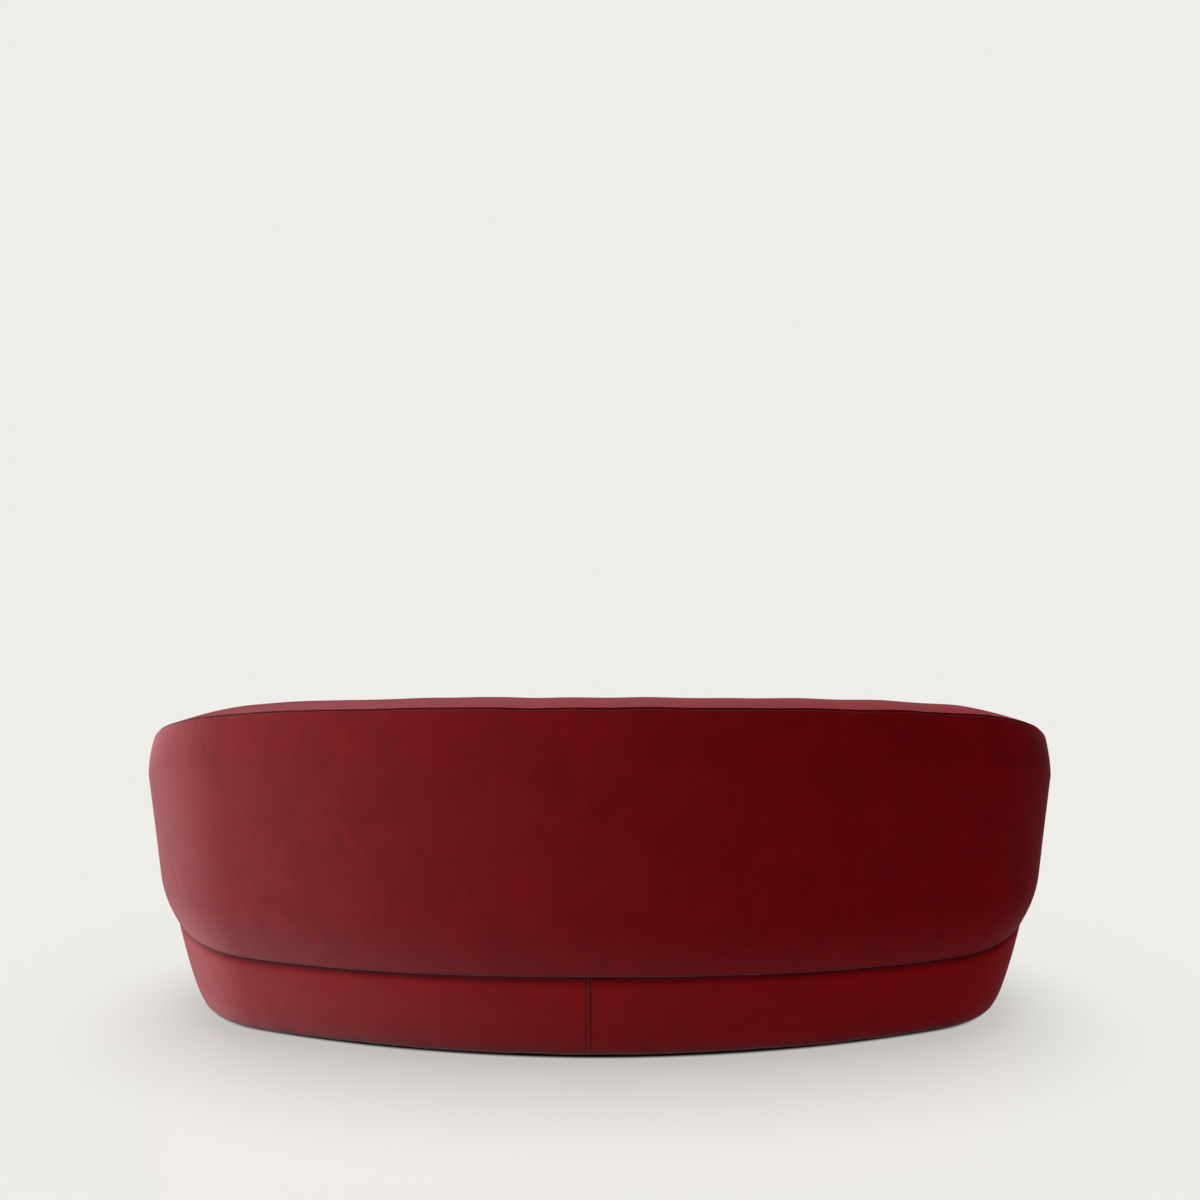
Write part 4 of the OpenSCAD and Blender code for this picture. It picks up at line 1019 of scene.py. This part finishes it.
class SOFA_OT_cushion(bpy.types.Operator):
    """The seat cushion: blown up as cloth inside its seams, then set back on the deck"""
    bl_idname = "sofa.cushion"
    bl_label = "Seat cushion"
    bl_options = {"REGISTER", "UNDO"}

    levels = 14
    # The top starts with this share of its crown. The filling adds the rest, up to a cap on
    # its rise and on how far the border moves.
    shrink = 0.45
    rise_cap = 13 * MM
    side_cap = 3.5 * MM
    frames = 20

    def bag(self, form, rim):
        """The cover before it is filled: rings from the middle of the underside out to the
        border, up the border, and in to the middle of the top"""
        sizes, count = form.s, len(rim)
        inwards = form.to_spine(rim)
        unit = inwards / np.linalg.norm(inwards, axis=1, keepdims=True)
        under = form.cushion_low + 0.6 * MM
        shares = np.linspace(0, 1, self.levels)[1:-1]
        rings = [(rim + inwards * share, under) for share in shares[::-1]]
        for height in np.linspace(0, 1, 12):
            out = form.bulge * math.sin(math.pi * height) - form.bulge
            rings.append((rim - unit * out, mix(under, sizes.seat, height)))
        for share in shares:
            crown = self.shrink * sizes.cushion_crown * (1 - (1 - share) ** 2.2)
            rings.append((rim + inwards * share, sizes.seat + crown))
        rings += [(rim + inwards, z)
                  for z in (under, sizes.seat + self.shrink * sizes.cushion_crown)]
        points = np.stack([np.concatenate([xy, np.full((count, 1), z)], 1)
                           for xy, z in rings])
        base = (len(rings) - 2) * count
        faces = grid_faces(len(rings) - 2, count, tube=True)
        for at, ring, flip in ((base, 0, 1), (base + count, base - count, 0)):
            for i in range(count):
                j = (i + 1) % count
                quad = [ring + i, ring + j, at + j, at + i]
                faces.append(quad[::-1] if flip else quad)
        return points, faces

    def execute(self, context):
        sizes, colours = chosen(context)
        form = Form(sizes)
        rim = form.cushion_rim(form.round(2 * step(), 0.1))
        body = add_mesh("seat_cushion_velvet", *self.bag(form, rim))
        remesh = body.modifiers.new("Even cloth", "REMESH")
        remesh.mode, remesh.voxel_size = "VOXEL", 9 * MM
        apply_modifiers(body)
        seams = self.seam_lines(form, rim)
        start = self.read(body)
        near = self.near(start, seams)
        moved = self.blow_up(body, near)
        self.write(body, self.settle(form, start, moved, near))
        smoother = body.modifiers.new("Finer", "SUBSURF")
        smoother.levels = 1
        apply_modifiers(body)
        self.write(body, self.seams_in(form, body, seams))
        body.data.shade_smooth()
        finish_piece(body, velvet(colours), "seat_cushion", "velvet", "cushion_foam_core",
                     "cushion_fibre_layer", "cushion_top_panel", "cushion_border",
                     "cushion_bottom_panel")
        return {"FINISHED"}

    @staticmethod
    def seam_lines(form, rim):
        """Points close together along both pipings and both edges of the zip"""
        piped = [np.concatenate([mix(rim, np.roll(rim, -1, 0), k),
                                 np.full((len(rim), 1), z)], 1) for k in (0, 0.34, 0.67)
                 for z in (form.s.seat, form.bottom_seam)]
        level, reach = SOFA_OT_zip.level(form), SOFA_OT_zip.reach(form)
        zipped = np.linspace(QUARTER - reach, QUARTER + reach, 250)
        zips = [form.at(zipped, form.cushion_in(zipped), level + side * 8 * MM)
                for side in (-1, 1)]
        return np.concatenate(piped + zips)

    @staticmethod
    def read(made, what="co"):
        """The place of each point of a mesh, or its normal"""
        flat = np.empty(3 * len(made.data.vertices))
        made.data.vertices.foreach_get(what, flat)
        return flat.reshape(-1, 3)

    @staticmethod
    def write(made, points):
        made.data.vertices.foreach_set("co", np.asarray(points, float).reshape(-1))
        made.data.update()

    @staticmethod
    def near(points, line):
        tree = KDTree(len(line))
        for i, p in enumerate(line.tolist()):
            tree.insert(p, i)
        tree.balance()
        return np.array([tree.find(p)[2] for p in points.tolist()])

    def blow_up(self, body, near):
        """The cloth swells under pressure, held along its seams"""
        group = body.vertex_groups.new(name="seams")
        for weight, reach in ((1.0, 9 * MM), (0.4, 16 * MM)):
            group.add(np.flatnonzero(near < reach).tolist(), weight,
                      "ADD" if weight < 1 else "REPLACE")
        cloth = body.modifiers.new("Filling", "CLOTH")
        made = cloth.settings
        made.quality, made.mass, made.vertex_group_mass = 5, 0.3, group.name
        made.tension_stiffness = made.compression_stiffness = 18
        made.shear_stiffness, made.bending_stiffness = 6, 0.4
        made.use_pressure, made.uniform_pressure_force = True, 4
        made.effector_weights.gravity = 0
        cloth.point_cache.frame_start, cloth.point_cache.frame_end = 1, self.frames
        for frame_number in range(1, self.frames + 1):
            bpy.context.scene.frame_set(frame_number)
        apply_modifiers(body)
        bpy.context.scene.frame_set(1)
        body.vertex_groups.clear()
        return self.read(body)

    def settle(self, form, start, moved, near):
        """Caps what the filling moved, and lays the underside flat on the deck"""
        shift = moved - start
        side = np.linalg.norm(shift[:, :2], axis=1)
        shift[:, :2] *= np.minimum(1, self.side_cap / np.maximum(side, 1e-9))[:, None]
        up = shift[:, 2]
        shift[:, 2] = np.where(up > 0, self.rise_cap * np.tanh(up / self.rise_cap), up)
        held = smooth((near - 6 * MM) / (30 * MM))
        made = start + shift * held[:, None]
        made[:, 2] = np.maximum(made[:, 2], form.cushion_low)
        return made

    def seams_in(self, form, body, seams):
        """Draws the cloth in beside the piping, with the small folds it gives a panel"""
        points, out, low = self.read(body), self.read(body, "normal"), form.cushion_low
        near = self.near(points, seams)
        piped = np.minimum(np.abs(points[:, 2] - form.s.seat),
                           np.abs(points[:, 2] - low - form.s.piping)) < 0.03
        dip = 3.0 * MM * near_edge(near, 10 * MM) ** 1.5 * piped
        folds = near_edge(near, 60 * MM) * smooth(near / (14 * MM))
        folds = folds * waves(points, 45 * MM, 6.6) * 1.1 * MM
        above = points[:, 2] > low + 20 * MM
        broad = 1.6 * MM * waves(points, 0.16, 1.2) * smooth(near / 0.08) * above
        points = points + out * (folds + broad - dip)[:, None]
        points[:, 2] = np.maximum(points[:, 2], low)
        return points


class SOFA_OT_piping(bpy.types.Operator):
    """The piping round both edges of the cushion: velvet cut on the bias over a cord"""
    bl_idname = "sofa.piping"
    bl_label = "Piping"
    bl_options = {"REGISTER", "UNDO"}

    sides = 14

    def execute(self, context):
        sizes, colours = chosen(context)
        form = Form(sizes)
        turn = form.round(0.7 * step(), 0.1)
        rim = form.cushion_rim(turn)
        inwards = form.to_spine(rim)
        unit = inwards / np.linalg.norm(inwards, axis=1, keepdims=True)
        centre = rim + unit * (form.bulge + sizes.piping)
        a = np.linspace(0, 2 * math.pi, self.sides, endpoint=False)[None, :]
        for word, z in (("top", sizes.seat), ("bottom", form.bottom_seam)):
            wobble = waves(np.stack([centre[:, 0], centre[:, 1], 0 * turn + z], -1),
                           0.03, 2.0)
            r = sizes.piping * (1 + 0.07 * wobble)[:, None]
            points = np.stack([
                centre[:, :1] - unit[:, :1] * r * np.cos(a),
                centre[:, 1:] - unit[:, 1:] * r * np.cos(a),
                z + r * np.sin(a)], -1)
            made = add_mesh("cushion_piping_" + word + "_velvet", points,
                            grid_faces(len(turn), self.sides, ring=True, tube=True))
            finish_piece(made, velvet(colours), "seat_cushion", "velvet",
                         "cushion_piping_" + word)
        return {"FINISHED"}


class SOFA_OT_zip(bpy.types.Operator):
    """The zip along the back of the cushion's border, and its slider"""
    bl_idname = "sofa.zip"
    bl_label = "Zip"
    bl_options = {"REGISTER", "UNDO"}

    out = 0.4 * MM
    tooth = 2.6 * MM

    @staticmethod
    def level(form):
        """Height of the middle of the zip"""
        return (form.cushion_low + form.s.seat) / 2

    @staticmethod
    def reach(form):
        """Half the turn of the zip"""
        return form.s.rear_turn * 5 / 6

    def execute(self, context):
        form = Form(chosen(context)[0])
        level, reach = self.level(form), self.reach(form)
        inset = form.cushion_in(np.array([QUARTER]))[0] - self.out
        turn = form.turns(QUARTER - reach, QUARTER + reach, step(), inset)
        # The tape lies flat, with a narrow step at its sewn edges and at the chain
        across = np.array([-13, -12.2, -9, -4, -2.6, 0, 2.6, 4, 9, 12.2, 13]) * MM
        lift = np.array([-0.2, 0.5, 0.6, 0.6, 0.3, 0.2, 0.3, 0.6, 0.6, 0.5, -0.2]) * MM
        own = form.cushion_in(turn)[:, None] - self.out - lift[None, :]
        points = form.at(turn[:, None], own, level + across[None, :])
        tape = add_mesh("zip_tape", points, grid_faces(*points.shape[:2]))
        thicken(tape, 0.5 * MM)
        finish_piece(tape, woven_cloth("Polyester tape, twill woven", "#1a1a1c", 0.8 * MM,
                                       0.15 * MM), "seat_cushion", "black_cloth",
                     "cushion_zip")
        # Teeth stand in turn on either side of the middle
        chain = Beads()
        count = int(2 * reach * (form.rear_r - inset) / self.tooth)
        for i in range(count):
            at = QUARTER - reach + 2 * reach * (i + 0.5) / count
            side = 0.9 * MM if i % 2 else -0.9 * MM
            depth = form.cushion_in(np.array([at]))[0] - self.out - 0.7 * MM
            chain.add(*[form.at(at, depth, level + side + end * 2.1 * MM)
                        for end in (-1, 1)], 0.75 * MM)
        made = chain.mesh("zip_teeth")
        finish_piece(made, moulded_nylon(), "seat_cushion", "black_cloth")
        self.slider(form)
        return {"FINISHED"}

    def slider(self, form):
        low, high = (Vector(corner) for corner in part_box("cushion_zip_slider"))
        turn = QUARTER - self.reach(form) + math.radians(0.5)
        depth = form.cushion_in(np.array([turn]))[0] - 1.6 * MM
        centre = Vector(form.at(turn, depth, self.level(form)))
        if (centre.x < 0) != (low.x + high.x < 0):
            centre.x, turn = -centre.x, math.pi - turn
        right = Vector((-math.sin(turn), math.cos(turn), 0))
        out = Vector((math.cos(turn), math.sin(turn), 0))
        up = Vector((0, 0, 1))
        # The shield of the slider, then its bridge, then the pull that hangs from it: across
        # and up in mm, and the two depths between which each stands
        shield = [(-4.4, -3.0), (-4.4, 3.0), (-1.0, 5.6), (4.4, 4.0), (4.4, -4.0),
                  (-1.0, -5.6)]
        bridge = [(-3.0, -1.1), (-3.0, 1.1), (3.0, 1.1), (3.0, -1.1)]
        pull = [(-1.8, -3.0), (-2.4, -17.0), (-1.6, -18.6), (1.6, -18.6), (2.4, -17.0),
                (1.8, -3.0), (1.0, -1.6), (-1.0, -1.6)]
        mesh = bmesh.new()
        for outline, base, high_at in ((shield, 0.2, 1.2), (bridge, 1.2, 2.0),
                                       (pull, 1.5, 2.2)):
            corners = [mesh.verts.new(centre + (right * x + up * z + out * base) * MM)
                       for x, z in outline]
            face = mesh.faces.new(corners)
            grown = bmesh.ops.extrude_face_region(mesh, geom=[face])
            moved = [v for v in grown["geom"] if isinstance(v, bmesh.types.BMVert)]
            bmesh.ops.translate(mesh, verts=moved, vec=out * (high_at - base) * MM)
        bmesh.ops.recalc_face_normals(mesh, faces=mesh.faces)
        data = bpy.data.meshes.new("zip_slider_body")
        mesh.to_mesh(data)
        mesh.free()
        made = bpy.data.objects.new("zip_slider_body", data)
        bpy.context.scene.collection.objects.link(made)
        bevel = made.modifiers.new("Soft edges", "BEVEL")
        bevel.width, bevel.segments = 0.3 * MM, 2
        apply_modifiers(made)
        made.data.shade_smooth()
        finish_piece(made, zinc_steel(), "zip_slider", "zinc_steel", "cushion_zip_slider")
def sheet_plan(form, turn, inset, rows):
    """A cloth in plan, in rows from its rim to the middle line, and the distance of each
    point from the rim"""
    rim = np.stack(form.plan(turn, inset), -1)
    inwards = form.to_spine(rim)
    share = np.linspace(0, 1, rows)[None, :, None] ** 1.2
    run = np.linalg.norm(inwards, axis=1)[:, None] * share[0, :, 0][None]
    return rim[:, None] + inwards[:, None] * share, run


def add_sheet(name, points, thickness):
    """A cloth with its halves welded along the middle line, its size and its area"""
    made = add_mesh(name, points, grid_faces(*points.shape[:2], ring=True))
    area = sum(face.area for face in made.data.polygons)
    made.modifiers.new("Weld", "WELD").merge_threshold = 0.3 * MM
    thicken(made, thickness)
    flat = points.reshape(-1, 3)
    return made, flat.max(0) - flat.min(0), area


class SOFA_OT_deck(bpy.types.Operator):
    """The deck lining over its pad, sewn to the velvet that turns over the front edge"""
    bl_idname = "sofa.deck"
    bl_label = "Deck"
    bl_options = {"REGISTER", "UNDO"}

    # The lining starts this far in from the front edge
    band = 105 * MM
    rows = 26

    def execute(self, context):
        form = Form(chosen(context)[0])
        turn = form.round(1.5 * step(), 0.1)
        behind = form.seat_in(turn) + 2 * MM
        before = form.skirt_in(form.s.skirt) + self.band
        inset = mix(behind, np.maximum(before, 0), form.before_arms(turn))
        plan, run = sheet_plan(form, turn, inset, self.rows)
        # The lining dips to its sewn edge, and a little between
        z = form.deck_top - 1.4 * MM * near_edge(run, 8 * MM) ** 2
        points = np.concatenate([plan, z[..., None]], -1)
        points[..., 2] -= 0.7 * MM * (1 + waves(points, 0.12, 3.3)) * smooth(run / 0.05)
        made, size, area = add_sheet("deck_lining_cloth", points, 0.8 * MM)
        cloth = woven_cloth("Polypropylene deck cloth, woven", "#1d1d20", 1.2 * MM,
                            0.2 * MM)
        finish_piece(made, cloth, "sofa_body", "black_cloth", "deck_lining", "deck_pad")
        return {"FINISHED"}


class SOFA_OT_dust_cover(bpy.types.Operator):
    """The cloth stapled under the base, hanging a little between its edges"""
    bl_idname = "sofa.dust_cover"
    bl_label = "Dust cover"
    bl_options = {"REGISTER", "UNDO"}

    rows = 30
    staple_pitch = 55 * MM

    def execute(self, context):
        form = Form(chosen(context)[0])
        low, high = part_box("dust_cover")
        inset = form.half - high[0]
        plan, run = sheet_plan(form, form.round(1.5 * step(), inset), inset, self.rows)
        # The edge is folded under, twice as thick for 20 mm
        z = low[2] + 0.2 * MM + 0.6 * MM * smooth((run - 18 * MM) / (3 * MM))
        points = np.concatenate([plan, z[..., None]], -1)
        slack = smooth((run - 0.11) / 0.15)
        points[..., 2] -= slack * 1.2 * MM * (1 + 1.3 * waves(points, 0.2, 4.4))
        made, size, area = add_sheet("dust_cover_cloth", points, 0.5 * MM)
        cloth = woven_cloth("Polypropylene dust cloth, spunbonded", "#17171a", 1.5 * MM,
                            0.12 * MM)
        finish_piece(made, cloth, "sofa_body", "black_cloth", "dust_cover")
        staples = Beads()
        for at in form.round(self.staple_pitch, inset):
            middle = Vector(form.at(at, inset + 9 * MM, low[2] - 0.1 * MM))
            along = Vector((-math.sin(form.right(at)), math.cos(form.right(at)), 0))
            if at > QUARTER:
                along.x = -along.x
            staples.add(middle - along * 5 * MM, middle + along * 5 * MM, 0.45 * MM)
        made = staples.mesh("dust_cover_staples")
        finish_piece(made, zinc_steel(), "sofa_body", "zinc_steel")
        return {"FINISHED"}


class SOFA_OT_webbing(bpy.types.Operator):
    """The elastic straps that carry the cushion, stapled to the top of the base and woven
    over and under each other"""
    bl_idname = "sofa.webbing"
    bl_label = "Webbing"
    bl_options = {"REGISTER", "UNDO"}

    # Inset of the straps' ends, then the width and the thickness of a strap
    strap_in, strap_w, strap_t = 146 * MM, 70 * MM, 1.5 * MM
    pitch, count = 112 * MM, 15
    cross_pitch, cross_count, cross_y = 118 * MM, 4, 14 * MM
    # Points across a strap, as shares of its half width
    rows = (-1, -0.9, -0.3, 0.3, 0.9, 1)

    def execute(self, context):
        form = Form(chosen(context)[0])
        turn = np.linspace(-QUARTER, QUARTER, 2001)
        x, y = form.plan(turn, self.strap_in)
        widest = int(x.argmax())
        half = self.strap_w / 2
        crosses = form.wide_y + self.cross_y + self.cross_pitch * (
            np.arange(self.cross_count) - (self.cross_count - 1) / 2)
        longs = self.pitch * (np.arange(self.count) - (self.count - 1) / 2)
        low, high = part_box("webbing_front_to_back")[0][2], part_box("webbing_side_to_side")[1][2]
        lift = high - low - self.strap_t - 0.2 * MM

        def woven(run, others, over):
            """The height along a strap as it passes over and under the others"""
            signs = np.array([1 if (i + over) % 2 else -1 for i in range(len(others))])
            near = np.clip(1 - np.abs(run[..., None] - others) / self.pitch, 0, 1)
            return low + self.strap_t + lift * (0.5 + 0.5 * (signs * smooth(near)).sum(-1))

        cloth = woven_cloth("Elastic webbing, woven", "#2b2a28", 1.6 * MM, 0.3 * MM)
        for name, middles, others, flip in (
                ("webbing_front_to_back", longs, crosses, False),
                ("webbing_side_to_side", crosses, longs, True)):
            points, faces = [], []
            for i, middle in enumerate(middles):
                lines = []
                for share in self.rows:
                    at = middle + share * half
                    if flip:
                        reach = np.interp(at, y, x)
                        ends = (-reach, reach)
                    else:
                        ends = (np.interp(abs(at), x[:widest], y[:widest]),
                                np.interp(-abs(at), -x[widest:], y[widest:]))
                    run = np.linspace(*ends, 90)
                    # The selvedges are a little thicker than the web between them
                    z = woven(run, others, i + flip) - 0.2 * MM * (abs(share) < 0.9)
                    across = np.full(len(run), at)
                    lines.append(np.stack([run, across, z] if flip else [across, run, z], -1))
                base = sum(len(p) for p in points)
                grid = np.array(lines if flip else lines[::-1])
                faces += [[base + k for k in face] for face in grid_faces(*grid.shape[:2])]
                points.append(grid.reshape(-1, 3))
            made = add_mesh(name + "_straps", np.concatenate(points), faces)
            thicken(made, self.strap_t)
            finish_piece(made, cloth, "sofa_body", "webbing", name)
        return {"FINISHED"}


class SOFA_OT_frame_finish(bpy.types.Operator):
    """The finishes of the parts that stay as they were built"""
    bl_idname = "sofa.frame_finish"
    bl_label = "Frame finishes"
    bl_options = {"REGISTER", "UNDO"}

    def execute(self, context):
        zinc, hardboard = zinc_steel(), bent_board()
        finishes = {"glides": moulded_nylon(), "glide_screws": zinc, "back_bolts": zinc,
                    "back_washers": zinc, "back_nuts": zinc,
                    "base_facing_board": hardboard, "back_outer_board": hardboard,
                    "back_inner_board": hardboard}
        for name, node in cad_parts.items():
            wood = name.startswith(("base_", "cross_beam", "back_rib", "back_sill",
                                    "back_top_rail"))
            finish = finishes.get(name, plywood() if wood else None)
            if finish:
                node.data.materials.clear()
                node.data.materials.append(finish)
        return {"FINISHED"}


class SOFA_OT_stage(bpy.types.Operator):
    """The floor, the light and the camera"""
    bl_idname = "sofa.stage"
    bl_label = "Stage"
    bl_options = {"REGISTER", "UNDO"}

    camera_place = (0, 3.241, 1.135)
    lens, sensor, shift_y = 41.724, 36, -0.0712
    # Name, azimuth and elevation in degrees, softness in degrees, strength, and whether
    # the light includes or excludes the paper
    suns = (("side_light", 0, 38, 40, 1.75, "EXCLUDE"),
            ("top_light", 270, 70, 40, 2.3, "EXCLUDE"),
            ("fill_light", 105, 16, 50, 0.85, "EXCLUDE"),
            ("paper_light", 270, 84, 44, 5.4, "INCLUDE"))
    panel_place, panel_aim = Vector((2.9, 0.5, 1.6)), Vector((0.8, 0.1, 0.5))
    panel_size, panel_power = 1.4, 24
    ambient = 0.06
    # How the paper glows to the eye, and to the sofa from its dark side to its light side
    paper_glow, cast_glow = 0.60, (0.4, 1.15)
    # The floor is painted black, as the shade under the sofa, from this far inside the outline,
    # and further in at the ends
    edge_in, edge_more, edge_soft = 126 * MM, 12 * MM, 14 * MM
    # The sofa's painted shade on the paper starts this far outside the outline, and deepens over
    # this run
    shade_out, shade_run = 0.5, 0.6

    def execute(self, context):
        sizes, colours = chosen(context)
        scene = bpy.context.scene
        scene.view_settings.view_transform = "Standard"
        scene.camera = self.camera()
        floor = self.floor(Form(sizes))
        floor.data.materials.append(self.paper(colours))
        self.lights(floor)
        scene.world = self.studio(colours)
        return {"FINISHED"}

    def camera(self):
        made = bpy.data.objects.new("camera", bpy.data.cameras.new("camera"))
        bpy.context.scene.collection.objects.link(made)
        made.location, made.rotation_euler = self.camera_place, (QUARTER, 0, math.pi)
        made.data.lens, made.data.sensor_width = self.lens, self.sensor
        made.data.shift_y = self.shift_y
        return made

    def lights(self, floor):
        """The paper has a light of its own, and is shaded from the others"""
        lit = {}
        for word in ("INCLUDE", "EXCLUDE"):
            lit[word] = bpy.data.collections.new("paper " + word.lower() + "d")
            lit[word].objects.link(floor)
            lit[word].collection_objects[0].light_linking.link_state = word
        for name, azimuth, elevation, softness, strength, linked in self.suns:
            a, e = math.radians(azimuth), math.radians(elevation)
            toward = Vector((math.cos(a) * math.cos(e), math.sin(a) * math.cos(e),
                             math.sin(e)))
            self.lamp(name, "SUN", toward.to_track_quat("Z", "Y"), lit[linked],
                      angle=math.radians(softness), energy=strength)
        aim = self.panel_aim - self.panel_place
        panel = self.lamp("side_panel", "AREA", aim.to_track_quat("-Z", "Y"),
                          lit["EXCLUDE"], shape="DISK", size=self.panel_size,
                          energy=self.panel_power)
        panel.location = self.panel_place

    @staticmethod
    def lamp(name, kind, turned, receivers, **settings):
        """A light that falls on its receivers only"""
        data = bpy.data.lights.new(name, kind)
        for key, value in settings.items():
            setattr(data, key, value)
        made = bpy.data.objects.new(name, data)
        bpy.context.scene.collection.objects.link(made)
        made.rotation_euler = turned.to_euler()
        made.light_linking.receiver_collection = receivers
        return made

    def studio(self, colours):
        """The eye sees the colour of the paper all round, and the sofa gets a faint light from it
        that is weaker towards one side"""
        made = bpy.data.worlds.new("Studio")
        made.use_nodes = True
        tree = made.node_tree
        tree.nodes.clear()
        seen = add_node(tree, "ShaderNodeBackground", {
            "Color": tuple(colours.floor), "Strength": 1.0})
        place = add_node(tree, "ShaderNodeTexCoord").outputs["Generated"]
        side = add_node(tree, "ShaderNodeSeparateXYZ", {0: place})
        side_dimmed = add_node(tree, "ShaderNodeMapRange", {
            "Value": side.outputs["X"], "From Min": -0.7, "From Max": 1.0, "To Min": 0.0,
            "To Max": self.ambient})
        cast = add_node(tree, "ShaderNodeBackground", {
            "Color": (1.0, 1.0, 1.0, 1), "Strength": side_dimmed.outputs["Result"]})
        path = add_node(tree, "ShaderNodeLightPath")
        both = add_node(tree, "ShaderNodeMixShader", {
            0: path.outputs["Is Camera Ray"], 1: cast.outputs[0], 2: seen.outputs[0]})
        add_node(tree, "ShaderNodeOutputWorld", {"Surface": both.outputs[0]})
        return made

    def floor(self, form):
        """A round floor in rings. Near the sofa they follow its outline, and an attribute
        says how deep in the sofa's painted shade each point lies."""
        turn = form.round(0.03, 0.1)
        insets = np.concatenate([[0.32, 0.24, 0.18], np.linspace(0.16, 0.12, 9),
                                 [0.10, 0.05, 0, -0.1, -0.3, -0.5]])
        rings = [form.at(turn, inset, 0.0) for inset in insets]
        side = np.abs(np.stack(rings)[..., 0]) / form.half
        away = np.arctan2(rings[-1][:, 1], rings[-1][:, 0])
        for radius in (2, 4, 14):
            rings.append(np.stack([radius * np.cos(away), radius * np.sin(away),
                                   0 * away], -1))
        # Painted shade: black under the sofa, and a softer shade round it in the glow that the
        # sofa gets
        under = 0.5 * smooth((insets[:, None] - self.edge_in - self.edge_more * side)
                             / self.edge_soft)
        under += 0.5 * smooth((insets[:, None] + self.shade_out) / self.shade_run)
        under = np.concatenate([under, np.zeros((3, len(turn)))])
        count = len(turn)
        points = np.concatenate(rings + [np.zeros((1, 3))])
        faces = [f[::-1] for f in grid_faces(len(rings), count, tube=True)]
        faces += [[i, (i + 1) % count, len(points) - 1] for i in range(count)]
        made = add_mesh("floor", points, faces)
        mark(made, "painted_sofa_shade", np.append(under, 1.0))
        return made

    def paper(self, colours):
        """Seamless background paper: smooth and nearly matt, and further out it glows with
        the tone of what is behind it"""
        made, tree = new_material("Seamless background paper")
        if tree is None:
            return made
        place = add_node(tree, "ShaderNodeTexCoord").outputs["Object"]
        away = add_node(tree, "ShaderNodeVectorMath", {0: place}, operation="LENGTH")
        fade = add_node(tree, "ShaderNodeMapRange", {
            "Value": away.outputs["Value"], "From Min": 0.75, "From Max": 1.6},
            interpolation_type="SMOOTHSTEP")
        # The sofa sees the paper a little darker than the eye does, and it is painted dark under
        # the sofa, as its shade
        path = add_node(tree, "ShaderNodeLightPath")
        tone = add_node(tree, "ShaderNodeMix", {
            0: path.outputs["Is Camera Ray"], 6: linear("#686868"), 7: linear("#7c7c7c")},
            data_type="RGBA")
        under = add_node(tree, "ShaderNodeAttribute", attribute_name="painted_sofa_shade")
        # The glow that the sofa gets from the paper is painted weaker towards one side, keeping
        # light off that end of the sofa
        side = add_node(tree, "ShaderNodeSeparateXYZ", {0: place})
        side_dimmed = add_node(tree, "ShaderNodeMapRange", {
            "Value": side.outputs["X"], "From Min": -1.7, "From Max": 1.7,
            "To Min": self.cast_glow[0], "To Max": self.cast_glow[1]})
        cast = add_node(tree, "ShaderNodeMapRange", {
            "Value": under.outputs["Fac"], "To Min": side_dimmed.outputs["Result"],
            "To Max": 0.0})
        seen = add_node(tree, "ShaderNodeMapRange", {
            "Value": under.outputs["Fac"], "From Min": 0.5, "To Min": self.paper_glow,
            "To Max": 0.0})
        glow = add_node(tree, "ShaderNodeMix", {
            0: path.outputs["Is Camera Ray"], 2: cast.outputs["Result"],
            3: seen.outputs["Result"]})
        matt = add_node(tree, "ShaderNodeBsdfPrincipled", {
            "Base Color": tone.outputs[2], "Roughness": 0.35,
            "Specular IOR Level": 0.3, "Emission Color": tuple(colours.floor),
            "Emission Strength": glow.outputs["Result"]})
        far_glow = add_node(tree, "ShaderNodeMix", {
            0: path.outputs["Is Camera Ray"], 2: side_dimmed.outputs["Result"], 3: 1.0})
        far = add_node(tree, "ShaderNodeEmission", {
            "Color": tuple(colours.floor), "Strength": far_glow.outputs["Result"]})
        both = add_node(tree, "ShaderNodeMixShader", {
            0: fade.outputs["Result"], 1: matt.outputs["BSDF"], 2: far.outputs[0]})
        add_node(tree, "ShaderNodeOutputMaterial", {"Surface": both.outputs[0]})
        return made


OPERATORS = (SOFA_OT_outer_cover, SOFA_OT_inner_cover, SOFA_OT_arm_facings, SOFA_OT_skirt,
             SOFA_OT_cushion, SOFA_OT_piping, SOFA_OT_zip, SOFA_OT_deck,
             SOFA_OT_dust_cover, SOFA_OT_webbing, SOFA_OT_frame_finish, SOFA_OT_stage)


class SOFA_PT_sidebar(bpy.types.Panel):
    """The pieces of the sofa, with their sizes and colours"""
    bl_idname = "SOFA_PT_sidebar"
    bl_label = "Curved velvet sofa"
    bl_space_type = "VIEW_3D"
    bl_region_type = "UI"
    bl_category = "Sofa"

    def draw(self, context):
        for settings in chosen(context):
            box = self.layout.box()
            for name in settings.bl_rna.properties.keys():
                if name not in ("rna_type", "name"):
                    box.prop(settings, name)
        for operator in OPERATORS:
            self.layout.operator(operator.bl_idname)


CLASSES = (SofaSizes, SofaColours) + OPERATORS + (SOFA_PT_sidebar,)


def register():
    for each in CLASSES:
        bpy.utils.register_class(each)
    bpy.types.Scene.sofa_sizes = PointerProperty(type=SofaSizes)
    bpy.types.Scene.sofa_colours = PointerProperty(type=SofaColours)


def unregister():
    del bpy.types.Scene.sofa_colours, bpy.types.Scene.sofa_sizes
    for each in reversed(CLASSES):
        bpy.utils.unregister_class(each)


def main():
    register()
    for operator in OPERATORS:
        getattr(bpy.ops.sofa, operator.bl_idname.partition(".")[2])()


if __name__ == "__main__":
    main()
